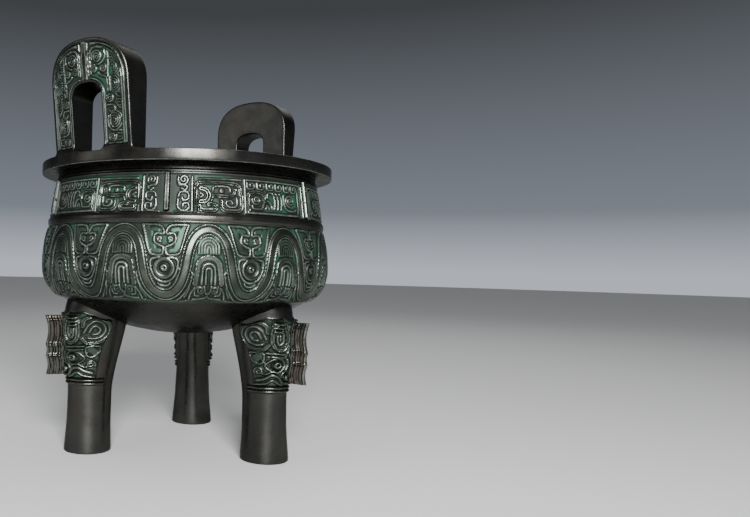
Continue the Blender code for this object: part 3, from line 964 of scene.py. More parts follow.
@dataclass
class WaveBand(RingBand):
    """The belly's band: a ribbon that winds up and down, with eyes and arches in its bends."""

    name: str = "wave_band"
    columns: int = 470
    step: float = 0.00066
    lift: float = 1.5
    half_mm: float = 38.4
    tall_mm: float = 68.7
    ribbon_half_mm: float = 4.8
    ribbon_groove_mm: float = 3.25

    def rows(self) -> tuple[Array, Array]:
        """Returns the belly's profile from the ridge down to the step under the band.

        Returns:
            Radii and heights.
        """
        height = np.linspace(WAVE_TOP_Z + 0.0004, WAVE_FOOT_Z, 400)
        radius = wall_radius(height)
        foot = (BELLY_FOOT_RADIUS - WAVE_STEP - 0.0008, WAVE_FOOT_Z - 0.0010)
        return self.even_rows(np.append(radius, foot[0]), np.append(height, foot[1]))

    def ribbon(self) -> Array:
        """Returns the ribbon's middle line from a hollow to the next crest.

        With t from 0 to a half, it lies at a full width times (t + 0.0478 sin 4 pi t) from the
        hollow, and its height swings with the cosine of 2 pi t.

        Returns:
            The line's points in millimetres.
        """
        turn = np.linspace(0.0, 0.5, 60)
        across = self.half_mm - 2 * self.half_mm * (turn + 0.0478 * np.sin(4 * math.pi * turn))
        swing = self.tall_mm / 2 - 6.4
        return np.stack([across, self.tall_mm / 2 + swing * np.cos(2 * math.pi * turn)], 1)

    def ribbon_share(self, down: Array) -> Array:
        """Returns where the ribbon's middle line is at a depth, as a share of the half width.

        Args:
            down: Depths in millimetres.

        Returns:
            Shares.
        """
        path = self.ribbon()[::-1]
        order = np.argsort(path[:, 1])
        return np.interp(down, path[order, 1], path[order, 0]) / self.half_mm

    def crest_strokes(self, drawing: Drawing) -> None:
        """Draws the arches, post, curls and base line under a crest, from its middle line.

        Args:
            drawing: The drawing that takes the strokes.
        """
        for half, top, foot, rise in ((8.9, 12.8, 26.4, 8.4), (6.4, 15.6, 26.8, 6.6),
                                      (3.9, 18.4, 26.8, 4.6), (1.4, 21.4, 26.6, 2.6)):
            drawing.add(arch(half, top, foot, rise), 0.60, 1.15)
        drawing.add(arch(9.3, 30.4, 52.5, 8.0, 2.4), 1.45, 1.3)
        drawing.add(arch(10.9, 28.6, 52.5, 8.4, 2.6), 0.40, 1.6)
        drawing.add(arch(5.4, 35.4, 53.0, 5.4, 0.6), 0.66, 1.3)
        drawing.add(arch(2.4, 39.2, 52.5, 2.6), 0.66, 1.3)
        drawing.add(spiral((6.3, 57.6), 3.7, -1.35, 215.0, 1.0), 0.62, 1.3)
        drawing.curves(
            (0.6, 1.2, (0.0, 61.6), (1.6, 60.4), (2.6, 58.0), (3.1, 55.0)),
            (0.62, 1.2, (0.0, 63.0), (1.4, 64.6), (5.0, 65.6), (13.0, 66.2)),
            (0.55, 1.1, (9.4, 55.0), (11.6, 58.4), (11.2, 62.2), (7.4, 62.8)),
            (0.5, 1.1, (16.4, 56.0), (18.0, 60.4), (21.0, 64.2)))
        drawing.lines(
            (0.6, 1.1, (12.0, 56.5), (15.2, 61.0), (16.6, 66.0)),
            (0.45, 1.1, (0.0, 66.9), (19.5, 67.2)))

    def hollow_strokes(self, drawing: Drawing) -> None:
        """Draws the frames, curls and eye in a hollow, from its middle line.

        Args:
            drawing: The drawing that takes the strokes.
        """
        def at(path: Array) -> Array:
            """Returns a path that is drawn outwards from the hollow's middle line."""
            return np.stack([self.half_mm - path[:, 0], path[:, 1]], 1)

        drawing.add(at(line((17.0, 6.4), (14.4, 9.4), (13.0, 17.0), (10.6, 23.2))), 2.2, 0.75, soft=1.6)
        drawing.add(at(line((11.0, 6.4), (6.4, 7.4))), 1.5, 0.75, soft=1.6)
        drawing.add(at(line((10.0, 24.6), (5.0, 25.4))), 1.5, 0.75, soft=1.6)
        drawing.add(at(curve((20.6, 3.2), (18.4, 9.0), (16.6, 16.0), (14.2, 24.4), (11.0, 28.0),
                             (3.6, 28.6), (1.4, 26.6), (1.2, 21.8))), 0.68, 1.4)
        drawing.add(at(curve((20.4, 2.9), (8.0, 3.0), (3.6, 4.4), (1.3, 7.6), (1.2, 10.2))), 0.68, 1.3)
        drawing.add(at(curve((2.2, 10.8), (7.2, 10.2), (9.2, 12.6), (9.2, 17.2), (6.0, 19.8),
                             (1.8, 21.4))), 0.62, 1.3)
        drawing.add(at(spiral((4.4, 14.9), 2.5, -1.2, 110.0, 0.6)), 0.52, 1.3)
        drawing.add(at(line((0.0, 39.8))), 6.2, 1.7, soft=1.4)
        drawing.add(at(line((0.0, 39.4))), 5.6, 2.3, Cut.SUNK, 4.0)
        drawing.add(at(curve((0.0, 31.2), (8.4, 31.2), (11.8, 33.6), (11.6, 40.2), (8.4, 47.0),
                             (4.4, 50.4), (0.0, 51.4))), 0.66, 1.4)
        drawing.add(at(line((0.0, 39.6))), 2.1, 2.0, soft=2.4)
        drawing.add(at(line((0.3, 39.3))), 0.9, 0.9, Cut.SUNK, 1.0)
        drawing.add(at(curve((5.4, 52.2), (3.4, 54.2), (0.0, 54.8))), 0.56, 1.15)
        drawing.add(at(curve((11.4, 45.6), (8.6, 52.8), (4.6, 57.0), (0.0, 58.0))), 0.56, 1.15)

    def spur_strokes(self, drawing: Drawing) -> None:
        """Draws the small spurs on both sides of the ribbon.

        Args:
            drawing: The drawing that takes the strokes.
        """
        drawing.lines(
            (0.6, 1.3, (15.6, 42.2), (13.6, 44.8), (14.8, 47.4)),
            (0.6, 1.3, (24.8, 41.0), (27.0, 38.6)),
            (0.5, 1.1, (23.6, 26.0), (26.2, 24.4)))

    def field(self, azimuths: Array, heights: Array) -> tuple[Array, Array]:
        """Returns the band's carving, one half bend of it mirrored and repeated round the bowl.

        Args:
            azimuths: Azimuths in radians.
            heights: Heights over the ground.

        Returns:
            Heights in millimetres and the carved share.
        """
        period = 2 * math.pi / WAVE_COUNT
        turn = np.mod(azimuths / period, 1.0)
        across = 2 * self.half_mm * np.abs(turn - 0.5)
        across, down = np.broadcast_arrays(across, (WAVE_TOP_Z - heights) / MM)
        drawing = Drawing(bold=1.5, moat=0.8)
        self.crest_strokes(drawing)
        self.hollow_strokes(drawing)
        self.spur_strokes(drawing)
        level = drawing.heights(across, down)
        spots = np.stack([across.ravel(), down.ravel()], 1)
        away = distance(spots, self.ribbon()).reshape(across.shape)
        ribbon = ribboned(away, self.ribbon_groove_mm, 1.1, self.ribbon_half_mm, self.lift)
        level = np.where(away < 5.4, np.maximum(ribbon, np.where(away > 5.0, level, ribbon)), level)
        level = level - 0.5 * np.exp(-(((away - 5.75) / 0.4) ** 2))
        panel = (0.75 * ramp((9.9 - across) / 0.8) * ramp((down - 11.6) / 1.0) * ramp((28.2 - down) / 0.8)
                 * (away > 5.9))
        level = np.maximum(level, panel)
        echo = 1.1 * ramp((0.95 - np.abs(away - 7.7)) / 0.5) * ramp((down - 44.0) / 4.0) * (across < 33.0)
        level = np.where(across > self.half_mm * self.ribbon_share(down), level, np.maximum(level, echo))
        border = ramp((down - 0.2) / 1.2) * ramp((self.tall_mm - 0.6 - down) / 1.4)
        return level * border + 1.2 * (1 - border), 0.35 + 0.65 * border


@dataclass
class UpperBand(RingBand):
    """The band under the rim: masks either side of the nose flanges, and plain flanges between."""

    name: str = "upper_band"
    columns: int = 490
    step: float = 0.0006
    lift: float = 1.3
    half_mm: float = 144.6
    tall_mm: float = 37.8
    flange_half: float = 1.9
    flange_stand: float = 3.2
    flange_moat: float = 2.0

    def rows(self) -> tuple[Array, Array]:
        """Returns the band's profile from inside the lip down to the ridge.

        Returns:
            Radii and heights.
        """
        height = np.array([LIP_Z + 0.0008, BAND_TOP_Z + 0.0004, BAND_TOP_Z - 0.0006, BAND_FOOT_Z - 0.0006])
        radius = np.array([NECK_RADIUS, BAND_TOP_RADIUS - 0.0006, BAND_TOP_RADIUS, BAND_FOOT_RADIUS])
        return self.even_rows(radius, height)

    def face_strokes(self, drawing: Drawing) -> None:
        """Draws half of a mask, from the nose flange outwards.

        Args:
            drawing: The drawing that takes the strokes.
        """
        drawing.add(spiral((14.0, 8.6), 4.6, -1.6, 150.0, 0.8), 0.80, 1.3)
        drawing.curves(
            (0.8, 1.3, (9.4, 6.4), (9.8, 12.6), (13.4, 13.4), (17.2, 14.8), (15.6, 17.6), (12.4, 16.4)),
            (0.7, 1.3, (9.6, 23.4), (11.8, 19.6), (17.6, 19.9), (18.4, 25.0), (14.2, 27.0), (12.9, 24.0)),
            (0.7, 1.3, (9.6, 25.8), (9.6, 32.6), (13.8, 36.0), (18.6, 33.8), (18.0, 29.4), (14.0, 29.8),
             (13.8, 32.4)),
            (0.7, 1.2, (28.6, 20.2), (31.2, 21.8), (28.8, 23.8)),
            (0.66, 1.3, (39.4, 18.0), (40.6, 14.4), (47.0, 13.4), (54.0, 14.2), (55.2, 18.0)))
        drawing.lines(
            (0.7, 1.2, (21.5, 6.0), (21.5, 36.4)),
            (0.5, 1.1, (7.2, 36.6), (20.0, 36.6)),
            (0.5, 1.0, (27.0, 7.4), (66.0, 7.2)))
        drawing.add(curve((24.3, 36.2), (24.4, 24.0), (25.0, 13.6), (28.4, 10.9), (40.0, 10.6),
                          (56.0, 10.8), (62.6, 12.0), (64.2, 15.4), (64.3, 20.0)), 1.20, 1.4, furrow=0.7)
        drawing.add(curve((29.0, 16.0), (33.8, 17.6), (36.0, 22.0), (34.0, 26.4), (28.8, 27.6)),
                    1.5, 1.5, furrow=0.7)
        drawing.add(line((47.2, 17.6)), 1.7, 1.9, soft=1.5)
        drawing.add(curve((37.1, 28.0), (38.4, 23.4), (41.0, 21.9), (48.0, 22.3), (57.0, 21.2),
                          (59.6, 16.2)), 1.15, 1.4, furrow=0.7)

    def jaw_strokes(self, drawing: Drawing) -> None:
        """Draws the square hooks under the eye, and the line that divides head and tail.

        Args:
            drawing: The drawing that takes the strokes.
        """
        drawing.add(curve((28.2, 31.4), (28.0, 34.0), (30.6, 34.9), (40.0, 34.8), (42.4, 33.2),
                          (42.2, 30.6), (39.2, 29.6), (35.6, 29.9)), 1.25, 1.4, furrow=0.7)
        drawing.add(curve((65.4, 21.4), (65.4, 30.6), (63.4, 34.4), (57.0, 35.0), (50.6, 34.8),
                          (47.2, 32.4), (46.8, 26.2)), 1.25, 1.4, furrow=0.7)
        drawing.add(curve((61.0, 23.4), (61.0, 28.8), (58.6, 31.4), (54.4, 31.4), (51.4, 29.2),
                          (52.2, 26.2), (56.0, 26.2), (56.8, 28.4)), 0.66, 1.3)
        drawing.add(line((69.0, 6.4), (69.0, 36.6)), 0.65, 1.2)

    def tail_strokes(self, drawing: Drawing) -> None:
        """Draws the tail: nested frames, a spiral, arches, forks and hooks along the top.

        Args:
            drawing: The drawing that takes the strokes.
        """
        drawing.add(curve((72.4, 34.0), (72.2, 22.0), (74.0, 17.8), (79.4, 16.6), (86.0, 17.4),
                          (88.8, 20.4), (88.6, 23.4)), 1.15, 1.4, furrow=0.7)
        drawing.add(spiral((80.2, 23.8), 4.3, -1.5, 190.0, 0.9), 0.64, 1.3)
        drawing.curves(
            (0.66, 1.2, (76.0, 28.9), (76.8, 31.2), (80.6, 31.7), (86.0, 31.4)),
            (0.66, 1.25, (86.2, 30.8), (88.4, 26.4), (92.0, 24.0), (95.6, 26.2), (97.0, 31.0)),
            (0.55, 1.1, (89.8, 31.2), (92.0, 28.0), (93.6, 31.2)),
            (0.66, 1.2, (92.0, 21.4), (93.0, 17.4), (96.6, 16.2)),
            (0.7, 1.25, (111.8, 17.6), (112.2, 26.0), (115.6, 30.4), (123.0, 31.4), (128.6, 29.6)),
            (0.8, 1.35, (73.0, 35.0), (76.6, 35.5), (126.0, 35.3), (131.0, 33.4), (132.4, 27.0),
             (132.4, 11.0)))
        for place in (100.2, 104.4, 108.6):
            drawing.add(curve((place - 1.8, 17.0), (place, 19.6), (place + 0.4, 26.0),
                              (place - 0.8, 31.0)), 0.72, 1.25)
        drawing.add(spiral((120.3, 22.0), 6.6, 1.9, 100.0, 0.9, 0.84), 0.70, 1.3)
        for place in (74.0, 84.4, 94.8, 105.2, 115.6, 125.4):
            drawing.add(curve((place - 2.6, 8.6), (place - 2.2, 13.4), (place + 2.4, 14.0),
                              (place + 5.0, 11.6), (place + 3.4, 9.0), (place + 0.8, 10.0),
                              (place + 1.2, 11.6)), 0.62, 1.15)
        drawing.lines(
            (0.5, 1.0, (71.6, 6.6), (134.0, 6.6)),
            (0.6, 1.1, (136.2, 6.4), (136.2, 36.6)),
            (0.6, 1.1, (139.6, 7.6), (139.6, 36.6)))

    def flanges(self, across: Array, down: Array) -> Array:
        """Returns the heights of the upright flanges at both ends of the half mask.

        Args:
            across: Places across the half mask in millimetres.
            down: Depths.

        Returns:
            Heights.
        """
        side = np.minimum(across, self.half_mm - across)
        share = ramp((self.flange_half + 0.3 - side) / 0.6)
        share = share * ramp((down - 1.5) / 0.7) * ramp((self.tall_mm - 1.5 - down) / 0.7)
        tick = ramp((0.9 - np.abs(down - 21.5)) / 0.7) * ramp((5.4 - side) / 0.8)
        tick = tick * (across > self.half_mm / 2)
        return np.maximum(self.flange_stand * share, 2.2 * tick)

    def field(self, azimuths: Array, heights: Array) -> tuple[Array, Array]:
        """Returns the band's carving, one half mask of it mirrored and repeated.

        Args:
            azimuths: Azimuths in radians.
            heights: Heights over the ground.

        Returns:
            Heights in millimetres and the carved share.
        """
        turn = np.mod(azimuths * LEG_COUNT / (2 * math.pi), 1.0)
        across = 2 * self.half_mm * np.abs(turn - 0.5)
        across, down = np.broadcast_arrays(across, (BAND_TOP_Z - heights) / MM)
        drawing = Drawing(bold=1.25, moat=0.75)
        self.face_strokes(drawing)
        self.jaw_strokes(drawing)
        self.tail_strokes(drawing)
        level = drawing.heights(across, down)
        plain = ramp((4.2 - down) / 1.2)
        rings = np.exp(-(((down - 1.2) / 0.45) ** 2)) + np.exp(-(((down - 3.4) / 0.45) ** 2))
        level = level * (1 - plain) + plain * (1.0 - 0.6 * rings)
        foot = ramp((down - self.tall_mm + 1.5) / 1.0)
        level = level * (1 - foot) + 0.2 * foot
        neck = ramp((-0.2 - down) / 0.8)
        side = np.minimum(across, self.half_mm - across)
        beside = np.exp(-(((side - self.flange_half - 1.3) / 1.0) ** 2)) * (1 - plain) * (1 - foot)
        level = np.maximum(level * (1 - neck) - self.flange_moat * beside, self.flanges(across, down))
        return level, (1 - 0.85 * plain) * (1 - neck) * (1 - foot)


@dataclass
class Ear:
    """One upright ear: an arch with plain sides and a sunken panel of scrolls on its outer face."""

    side: int
    width: float = 0.0940
    height: float = 0.0981
    arch: float = 0.0390
    power: float = 2.5
    lean: float = 0.0120
    bulge: float = 0.0049
    hole_width: float = 0.0366
    hole_height: float = 0.0600
    hole_arch: float = 0.0140
    border_mm: float = 3.5
    hole_border_mm: float = 2.2
    rise_mm: float = 4.6
    depth_mm: float = 1.2
    fillet: float = 0.0040
    below: float = 0.0050
    corner_width: float = 0.042
    corner_depth: float = 0.045
    turn_height: float = 0.0085
    leg_rows: int = 86
    arch_rows: int = 158

    def loop(self, half: float, height: float, arch: float, outwards: float) -> Array:
        """Returns one edge of the arch, from one foot over to the other.

        The legs are straight, with a concave fillet at the rim, and the top is a squared half
        ellipse: its shares of the half width and the arch, each to its power, add up to 1.

        Args:
            half: Half width of the arch.
            height: Its height over the rim.
            arch: Height of the half ellipse.
            outwards: 1 where the fillet spreads outwards, -1 where it spreads into the hole.

        Returns:
            N x 2 places across and above the rim.
        """
        rise = np.linspace(-self.below, height - arch, self.leg_rows, endpoint=False)
        near = np.clip(1 - np.maximum(rise, 0.0) / self.fillet, 0.0, 1.0)
        flare = self.fillet * (1 - np.sqrt(1 - near**2))
        leg = np.stack([half + outwards * flare, rise], 1)
        across, over = self.squared(np.linspace(0.0, math.pi, self.arch_rows))
        top = np.stack([half * across, height - arch + arch * over], 1)
        return np.vstack([leg, top, leg[::-1] * (-1, 1)])

    def squared(self, angle: Array) -> tuple[Array, Array]:
        """Returns the cosines and sines of angles to the power that squares the arch."""
        cosine, sine = np.cos(angle), np.maximum(np.sin(angle), 0.0)
        return np.sign(cosine) * np.abs(cosine) ** (2 / self.power), sine ** (2 / self.power)

    def section(self) -> tuple[Array, Array, Array]:
        """Returns the ear's section as shares of its width and depth, and its edges' wear and painted
        highlight.

        It is a rectangle with rounded corners: outer face, outer side, inner face, hole side.

        Returns:
            Shares of the width, shares of the depth, and edge wear and painted highlight.
        """
        wide, deep = self.corner_width, self.corner_depth
        angle = np.linspace(0.0, math.pi / 2, 5)
        bend_in, bend_out = 1 - np.cos(angle), np.sin(angle)
        outer = np.linspace(wide, 1 - wide, 50)[1:-1]
        inner = np.linspace(1 - wide, wide, 12)[1:-1]
        down = np.linspace(1 - deep, deep, 9)[1:-1]
        across = np.concatenate([
            wide * bend_in, outer, 1 - wide + wide * bend_out, np.ones(len(down)),
            1 - wide * bend_in, inner, wide * (1 - bend_out), np.zeros(len(down))])
        depth = np.concatenate([
            1 - deep * (1 - bend_out), np.ones(len(outer)), 1 - deep * bend_in, down,
            deep * (1 - bend_out), np.zeros(len(inner)), deep * bend_in, down[::-1]])
        flats = (outer, down, inner, down)
        # Rounded corners are painted bright, partly as wear and partly as a painted highlight, the outer
        # front edge most
        edge_wear_and_sheen = np.concatenate([np.append(np.full(len(angle), worn_and_sheen), np.zeros(len(flat)))
                               for worn_and_sheen, flat in zip((0.4, 0.55, 0.4, 0.3), flats)])
        return across, depth, edge_wear_and_sheen

    def front(self, across: Array, rise: Array) -> Array:
        """Returns how far the outer face stands from the bowl's axis.

        It leans out and bulges in the middle, and near the rim it turns into the rim's own round.

        Args:
            across: Places across the ear.
            rise: Heights over the rim.

        Returns:
            Distances from the axis.
        """
        flush = np.sqrt((RIM_RADIUS - 0.0002) ** 2 - across**2)
        half = self.width / 2
        base = math.sqrt((RIM_RADIUS - 0.0004) ** 2 - half**2)
        share = np.clip(across / half, -1.0, 1.0)
        leaning = base + self.lean * rise / self.height + self.bulge * (1 - share**2)
        return flush + (leaning - flush) * ramp(rise / self.turn_height)

    def nested(self, drawing: Drawing, center: tuple[float, float], count: int, first: float,
               last: float) -> None:
        """Draws nested arcs round a center.

        Args:
            drawing: The drawing.
            center: Their middle.
            count: How many arcs, 2.1 mm apart.
            first: Angle of their first ends in degrees.
            last: Angle of their last ends.
        """
        angle = np.linspace(math.radians(first), math.radians(last), 24)
        for radius in 1.9 + 2.1 * np.arange(count):
            arc = np.stack([center[0] + radius * np.cos(angle), center[1] + radius * np.sin(angle)], 1)
            drawing.add(arc, 0.5, 1.1)

    def crown_scrolls(self, drawing: Drawing) -> None:
        """Draws the ribs over the hole and the scrolls beside them.

        Args:
            drawing: The drawing that takes the strokes.
        """
        drawing.lines(
            (1.0, 1.25, (2.1, 61.0), (2.1, 95.0)),
            (0.42, 1.1, (5.0, 65.4), (5.0, 93.6)))
        crown = np.linspace(0.0, math.radians(82), 26)
        for inset, last in ((5.0, 1.0), (7.2, 0.86)):
            swing = crown * last
            across, over = self.squared(swing)
            edge = np.stack([(47.0 - inset) * across, 59.1 + (39.0 - inset) * over], 1)
            drawing.add(np.vstack([[(47.0 - inset, 6.0)], edge]), 0.5, 1.1)
        drawing.add(spiral((15.0, 80.4), 5.8, -2.4, 200.0, 0.7), 0.52, 1.15)
        drawing.curves(
            (0.52, 1.15, (7.8, 66.6), (7.6, 74.0), (7.8, 84.6), (12.0, 88.6), (20.6, 87.4)),
            (0.52, 1.15, (23.6, 85.4), (24.0, 79.6), (20.8, 75.4), (16.6, 73.6)),
            (0.55, 1.15, (26.6, 84.2), (27.2, 74.0), (26.4, 64.0), (27.6, 57.0), (25.0, 53.4)),
            (0.45, 1.1, (8.6, 91.6), (16.0, 91.8), (24.0, 89.6), (30.0, 86.6)),
            (0.45, 1.1, (16.4, 66.8), (18.2, 64.6), (24.6, 62.0), (24.8, 58.4)))
        drawing.add(spiral((12.0, 70.4), 3.4, 1.7, 90.0, 0.6), 0.5, 1.1)
        drawing.add(spiral((21.4, 70.2), 3.6, -1.7, 60.0, 0.6), 0.5, 1.1)
        self.nested(drawing, (32.0, 81.4), 3, -110.0, 100.0)
        self.nested(drawing, (31.4, 70.0), 4, -70.0, 110.0)

    def scrolls(self) -> Drawing:
        """Draws one half of the panel: the crown's scrolls, and a column of them beside the hole.

        Returns:
            The drawing.
        """
        drawing = Drawing(bold=1.2, moat=0.35, blur=0.4)
        self.crown_scrolls(drawing)
        self.nested(drawing, (31.2, 56.0), 4, -75.0, 90.0)
        drawing.lines(
            (0.5, 1.1, (25.2, 60.0), (25.2, 50.4)),
            (0.5, 1.1, (28.0, 62.0), (28.0, 50.4)),
            (0.5, 1.2, (22.4, 5.6), (41.0, 5.6)))
        drawing.add(spiral((27.2, 44.4), 4.2, 2.0, 150.0, 0.6), 0.5, 1.15)
        for level in (47.6, 45.2, 42.8, 40.4):
            drawing.add(curve((32.6, level), (35.0, level - 2.6), (38.4, level - 3.2)), 0.45, 1.1)
        drawing.curves(
            (0.45, 1.1, (32.8, 49.6), (36.4, 48.4), (38.6, 47.0)),
            (0.55, 1.15, (24.2, 38.2), (29.8, 38.0), (31.8, 34.4), (28.6, 31.4), (25.4, 33.8)),
            (0.45, 1.1, (26.6, 29.6), (26.4, 22.4), (28.6, 19.4)),
            (0.45, 1.1, (34.6, 37.4), (36.6, 35.6), (38.8, 35.0)),
            (0.55, 1.15, (24.4, 29.0), (24.4, 21.0), (28.0, 16.8), (36.6, 16.0)),
            (0.55, 1.1, (33.6, 13.8), (38.2, 12.8), (37.8, 8.6), (33.8, 8.0)))
        self.nested(drawing, (30.4, 25.0), 4, -75.0, 115.0)
        drawing.add(spiral((27.6, 10.8), 4.2, -2.0, 20.0, 0.6), 0.5, 1.15)
        swing = np.linspace(0.0, math.radians(76), 24)
        across, over = self.squared(swing)
        drawing.add(np.vstack([[(21.4, 6.0)], np.stack([21.4 * across, 46.0 + 17.2 * over], 1)]), 0.5, 1.0)
        return drawing

    def build(self, material: bpy.types.Material) -> None:
        """Makes the ear: its section carried along the arch, the outer face moved by its panel.

        Args:
            material: Its finish.
        """
        outer = self.loop(self.width / 2, self.height, self.arch, 1.0)
        hole = self.loop(self.hole_width / 2, self.hole_height, self.hole_arch, -1.0)
        across, depth, edge_wear_and_sheen = self.section()
        places = hole[:, None, :] + (outer - hole)[:, None, :] * across[None, :, None]
        y, rise = places[..., 0], places[..., 1]
        width = np.linalg.norm(outer - hole, axis=1)[:, None] / MM
        inside = np.minimum(width * (1 - across) - self.border_mm, width * across - self.hole_border_mm)
        inside = np.minimum(inside, rise / MM - self.rise_mm)
        face = np.broadcast_to(depth > 0.999, y.shape)
        panel = ramp(inside / 0.7 + 0.5) * face
        level = (self.scrolls().heights(np.abs(y) / MM, rise / MM) - self.depth_mm) * panel
        back = RIM_INNER_RADIUS + 0.0006
        outward = back + depth * (self.front(y, rise) + level * MM - back)
        outward = np.minimum(outward, cad_high.x)
        rings = np.stack([self.side * outward, self.side * y, RIM_Z + rise], -1)
        ends = tuple(rings[index].mean(0, keepdims=True) for index in (0, -1))
        carved, relief, crest = relief_shares((level + self.depth_mm) * panel, panel, self.depth_mm)
        # In the panel, grooves get painted shade; off it, the corners' wear and painted highlight begin
        # above the rim
        crest = np.where(panel > 0.05, crest, edge_wear_and_sheen[None, :] * ramp(rise / 0.004))
        skin = capped_tube(rings, ends, (carved, relief, crest))
        skin.build("ear_%s" % ("right" if self.side > 0 else "left"), material)


@dataclass
class Leg:
    """One leg: a waisted shaft with a double collar and an animal mask on its outer side."""

    index: int
    distance: float = 0.1012
    columns: int = 204
    mask_foot: float = 0.0735
    mask_top: float = 0.1336
    collar: float = 0.0694
    plate_mm: float = 2.4
    around_mm: float = 23.0
    sole: float = 0.0012
    sink: float = 0.0030
    shares: tuple[float, ...] = (0.0, 0.195, 0.417, 0.554, 0.684, 0.795, 0.925, 0.990)
    insets: tuple[float, ...] = (0.0, 0.0007, 0.0012, 0.0024, 0.0040, 0.0052, 0.0067, 0.0077)
    depths: tuple[float, ...] = (0.0236, 0.0219, 0.0220, 0.0250, 0.0286, 0.0315, 0.0325, 0.0295)
    widths: tuple[float, ...] = (0.0236, 0.0206, 0.0192, 0.0190, 0.0196, 0.0222, 0.0262, 0.0270)

    def along(self, values: tuple[float, ...], height: Array) -> Array:
        """Returns a size at a height, by straight runs softened over a tenth of the leg.

        Args:
            values: The size at each of the leg's shares.
            height: Heights.

        Returns:
            The sizes there.
        """
        share = height / WAVE_FOOT_Z
        offsets = np.linspace(-0.05, 0.05, 9)
        return sum(np.interp(share + offset, self.shares, values) for offset in offsets) / len(offsets)

    def shaft(self, angle: Array, height: Array, lift: Array) -> Array:
        """Returns points of the shaft, an ellipse moved out by the carving's height.

        Args:
            angle: Angles round the leg in radians, 0 on its outer side.
            height: Heights over the ground.
            lift: Heights of the carving, in metres.

        Returns:
            Points with the leg standing on -Y.
        """
        round_off = self.sole * (1 - np.sqrt(1 - np.clip(1 - height / self.sole, 0.0, 1.0) ** 2))
        depth = self.along(self.depths, height) - round_off + lift
        width = self.along(self.widths, height) - round_off + lift
        center = self.distance - self.along(self.insets, height)
        return np.stack([width * np.sin(angle), -center - depth * np.cos(angle), height], -1)

    def horn_strokes(self, drawing: Drawing) -> None:
        """Draws the ladder beside the fin, the two horns and the brow.

        Args:
            drawing: The drawing that takes the strokes.
        """
        drawing.lines(
            (0.6, 1.3, (5.0, 34.0), (5.2, 57.0)),
            (0.6, 1.4, (13.7, 43.0), (13.7, 47.6)),
            (0.85, 2.2, (7.0, 29.8), (24.4, 31.0)),
            (0.75, 1.9, (7.8, 26.6), (23.6, 27.8)))
        for level in (36.0, 39.8, 43.6, 47.4, 51.2, 55.0):
            drawing.add(line((1.6, level + 2.2), (4.8, level)), 0.6, 1.3)
        drawing.curves(
            (0.7, 1.6, (1.8, 26.8), (4.8, 32.6), (7.6, 27.4)),
            (0.75, 1.7, (12.6, 55.4), (11.0, 49.0), (11.4, 41.4), (14.4, 39.0), (16.2, 43.4),
             (15.6, 47.6)),
            (0.5, 1.3, (21.2, 37.0), (20.9, 45.0), (20.4, 53.0), (18.4, 58.6)))
        drawing.add(curve((9.4, 58.4), (7.6, 50.0), (7.8, 40.0), (10.8, 34.6), (15.4, 34.2),
                          (18.8, 38.4), (19.6, 46.0), (18.6, 53.0), (15.6, 57.4)), 1.35, 2.3, furrow=0.45)
        for level in (50.6, 54.2, 57.8, 61.2):
            drawing.add(line((11.6, level), (18.0, level + 0.8)), 0.8, 2.9)
        drawing.add(curve((22.8, 50.0), (23.6, 56.8), (30.0, 59.6), (37.6, 56.4), (42.0, 49.0),
                          (40.6, 40.0), (34.0, 34.8), (26.6, 34.2), (22.8, 38.2), steps=14),
                    1.35, 1.7, soft=1.1, furrow=0.45)
        drawing.add(curve((24.0, 44.0), (26.6, 51.4), (31.0, 55.4), (36.2, 53.4), (38.6, 47.0), (36.6, 41.0),
                          (31.6, 38.4), (27.0, 39.0), steps=14), 0.75, 1.2, soft=1.0)
        drawing.add(curve((27.6, 44.4), (29.6, 49.6), (32.8, 50.4), (35.0, 47.0), (33.6, 43.2),
                          (30.4, 42.4), steps=14), 0.7, 1.1, soft=1.0)

    def mask_strokes(self) -> Drawing:
        """Draws one half of the mask: horns and brow, eye, lobe, lip, nostril and cheek.

        Returns:
            The drawing.
        """
        drawing = Drawing(bold=1.15, moat=0.5)
        self.horn_strokes(drawing)
        drawing.add(line((15.3, 19.8)), 4.0, 2.0, soft=1.8)
        drawing.add(line((15.3, 19.8)), 3.2, 4.2, soft=2.8)
        drawing.add(line((15.1, 20.2)), 1.1, 2.4, Cut.SUNK, 0.9)
        drawing.curves(
            (0.62, 1.5, (7.4, 19.4), (10.6, 24.6), (16.4, 25.6), (21.8, 23.2), (25.0, 18.6), (19.4, 13.8),
             (12.4, 13.6), (7.4, 19.4)),
            (0.65, 1.4, (5.2, 25.0), (4.0, 20.0), (6.4, 14.8)),
            (0.8, 1.9, (1.8, 10.4), (3.2, 13.4), (8.4, 13.4), (10.8, 9.6), (9.4, 6.0)),
            (1.15, 2.5, (4.4, 2.6), (9.6, 3.4), (13.6, 8.4), (19.6, 10.2), (25.4, 7.0), (31.8, 5.2)),
            (0.75, 1.7, (14.0, 12.4), (18.8, 13.6), (24.6, 11.0), (27.2, 11.2)),
            (0.85, 1.8, (8.0, 0.4), (13.0, 2.4), (18.6, 5.6), (24.0, 2.6), (34.0, 1.0)),
            (0.7, 1.4, (24.8, 20.6), (27.4, 24.4)),
            (0.75, 1.7, (25.6, 29.6), (30.6, 31.2), (37.2, 30.6), (36.6, 25.8), (31.6, 20.8), (27.0, 22.2),
             (25.6, 29.6)))
        drawing.add(line((5.8, 8.0)), 2.7, 4.2, soft=2.8)
        drawing.add(spiral((30.4, 13.8), 3.9, 1.6, 330.0, 0.7), 0.7, 1.6)
        drawing.add(line((30.0, 27.6), (32.6, 25.6)), 2.9, 1.3, soft=1.4)
        return drawing

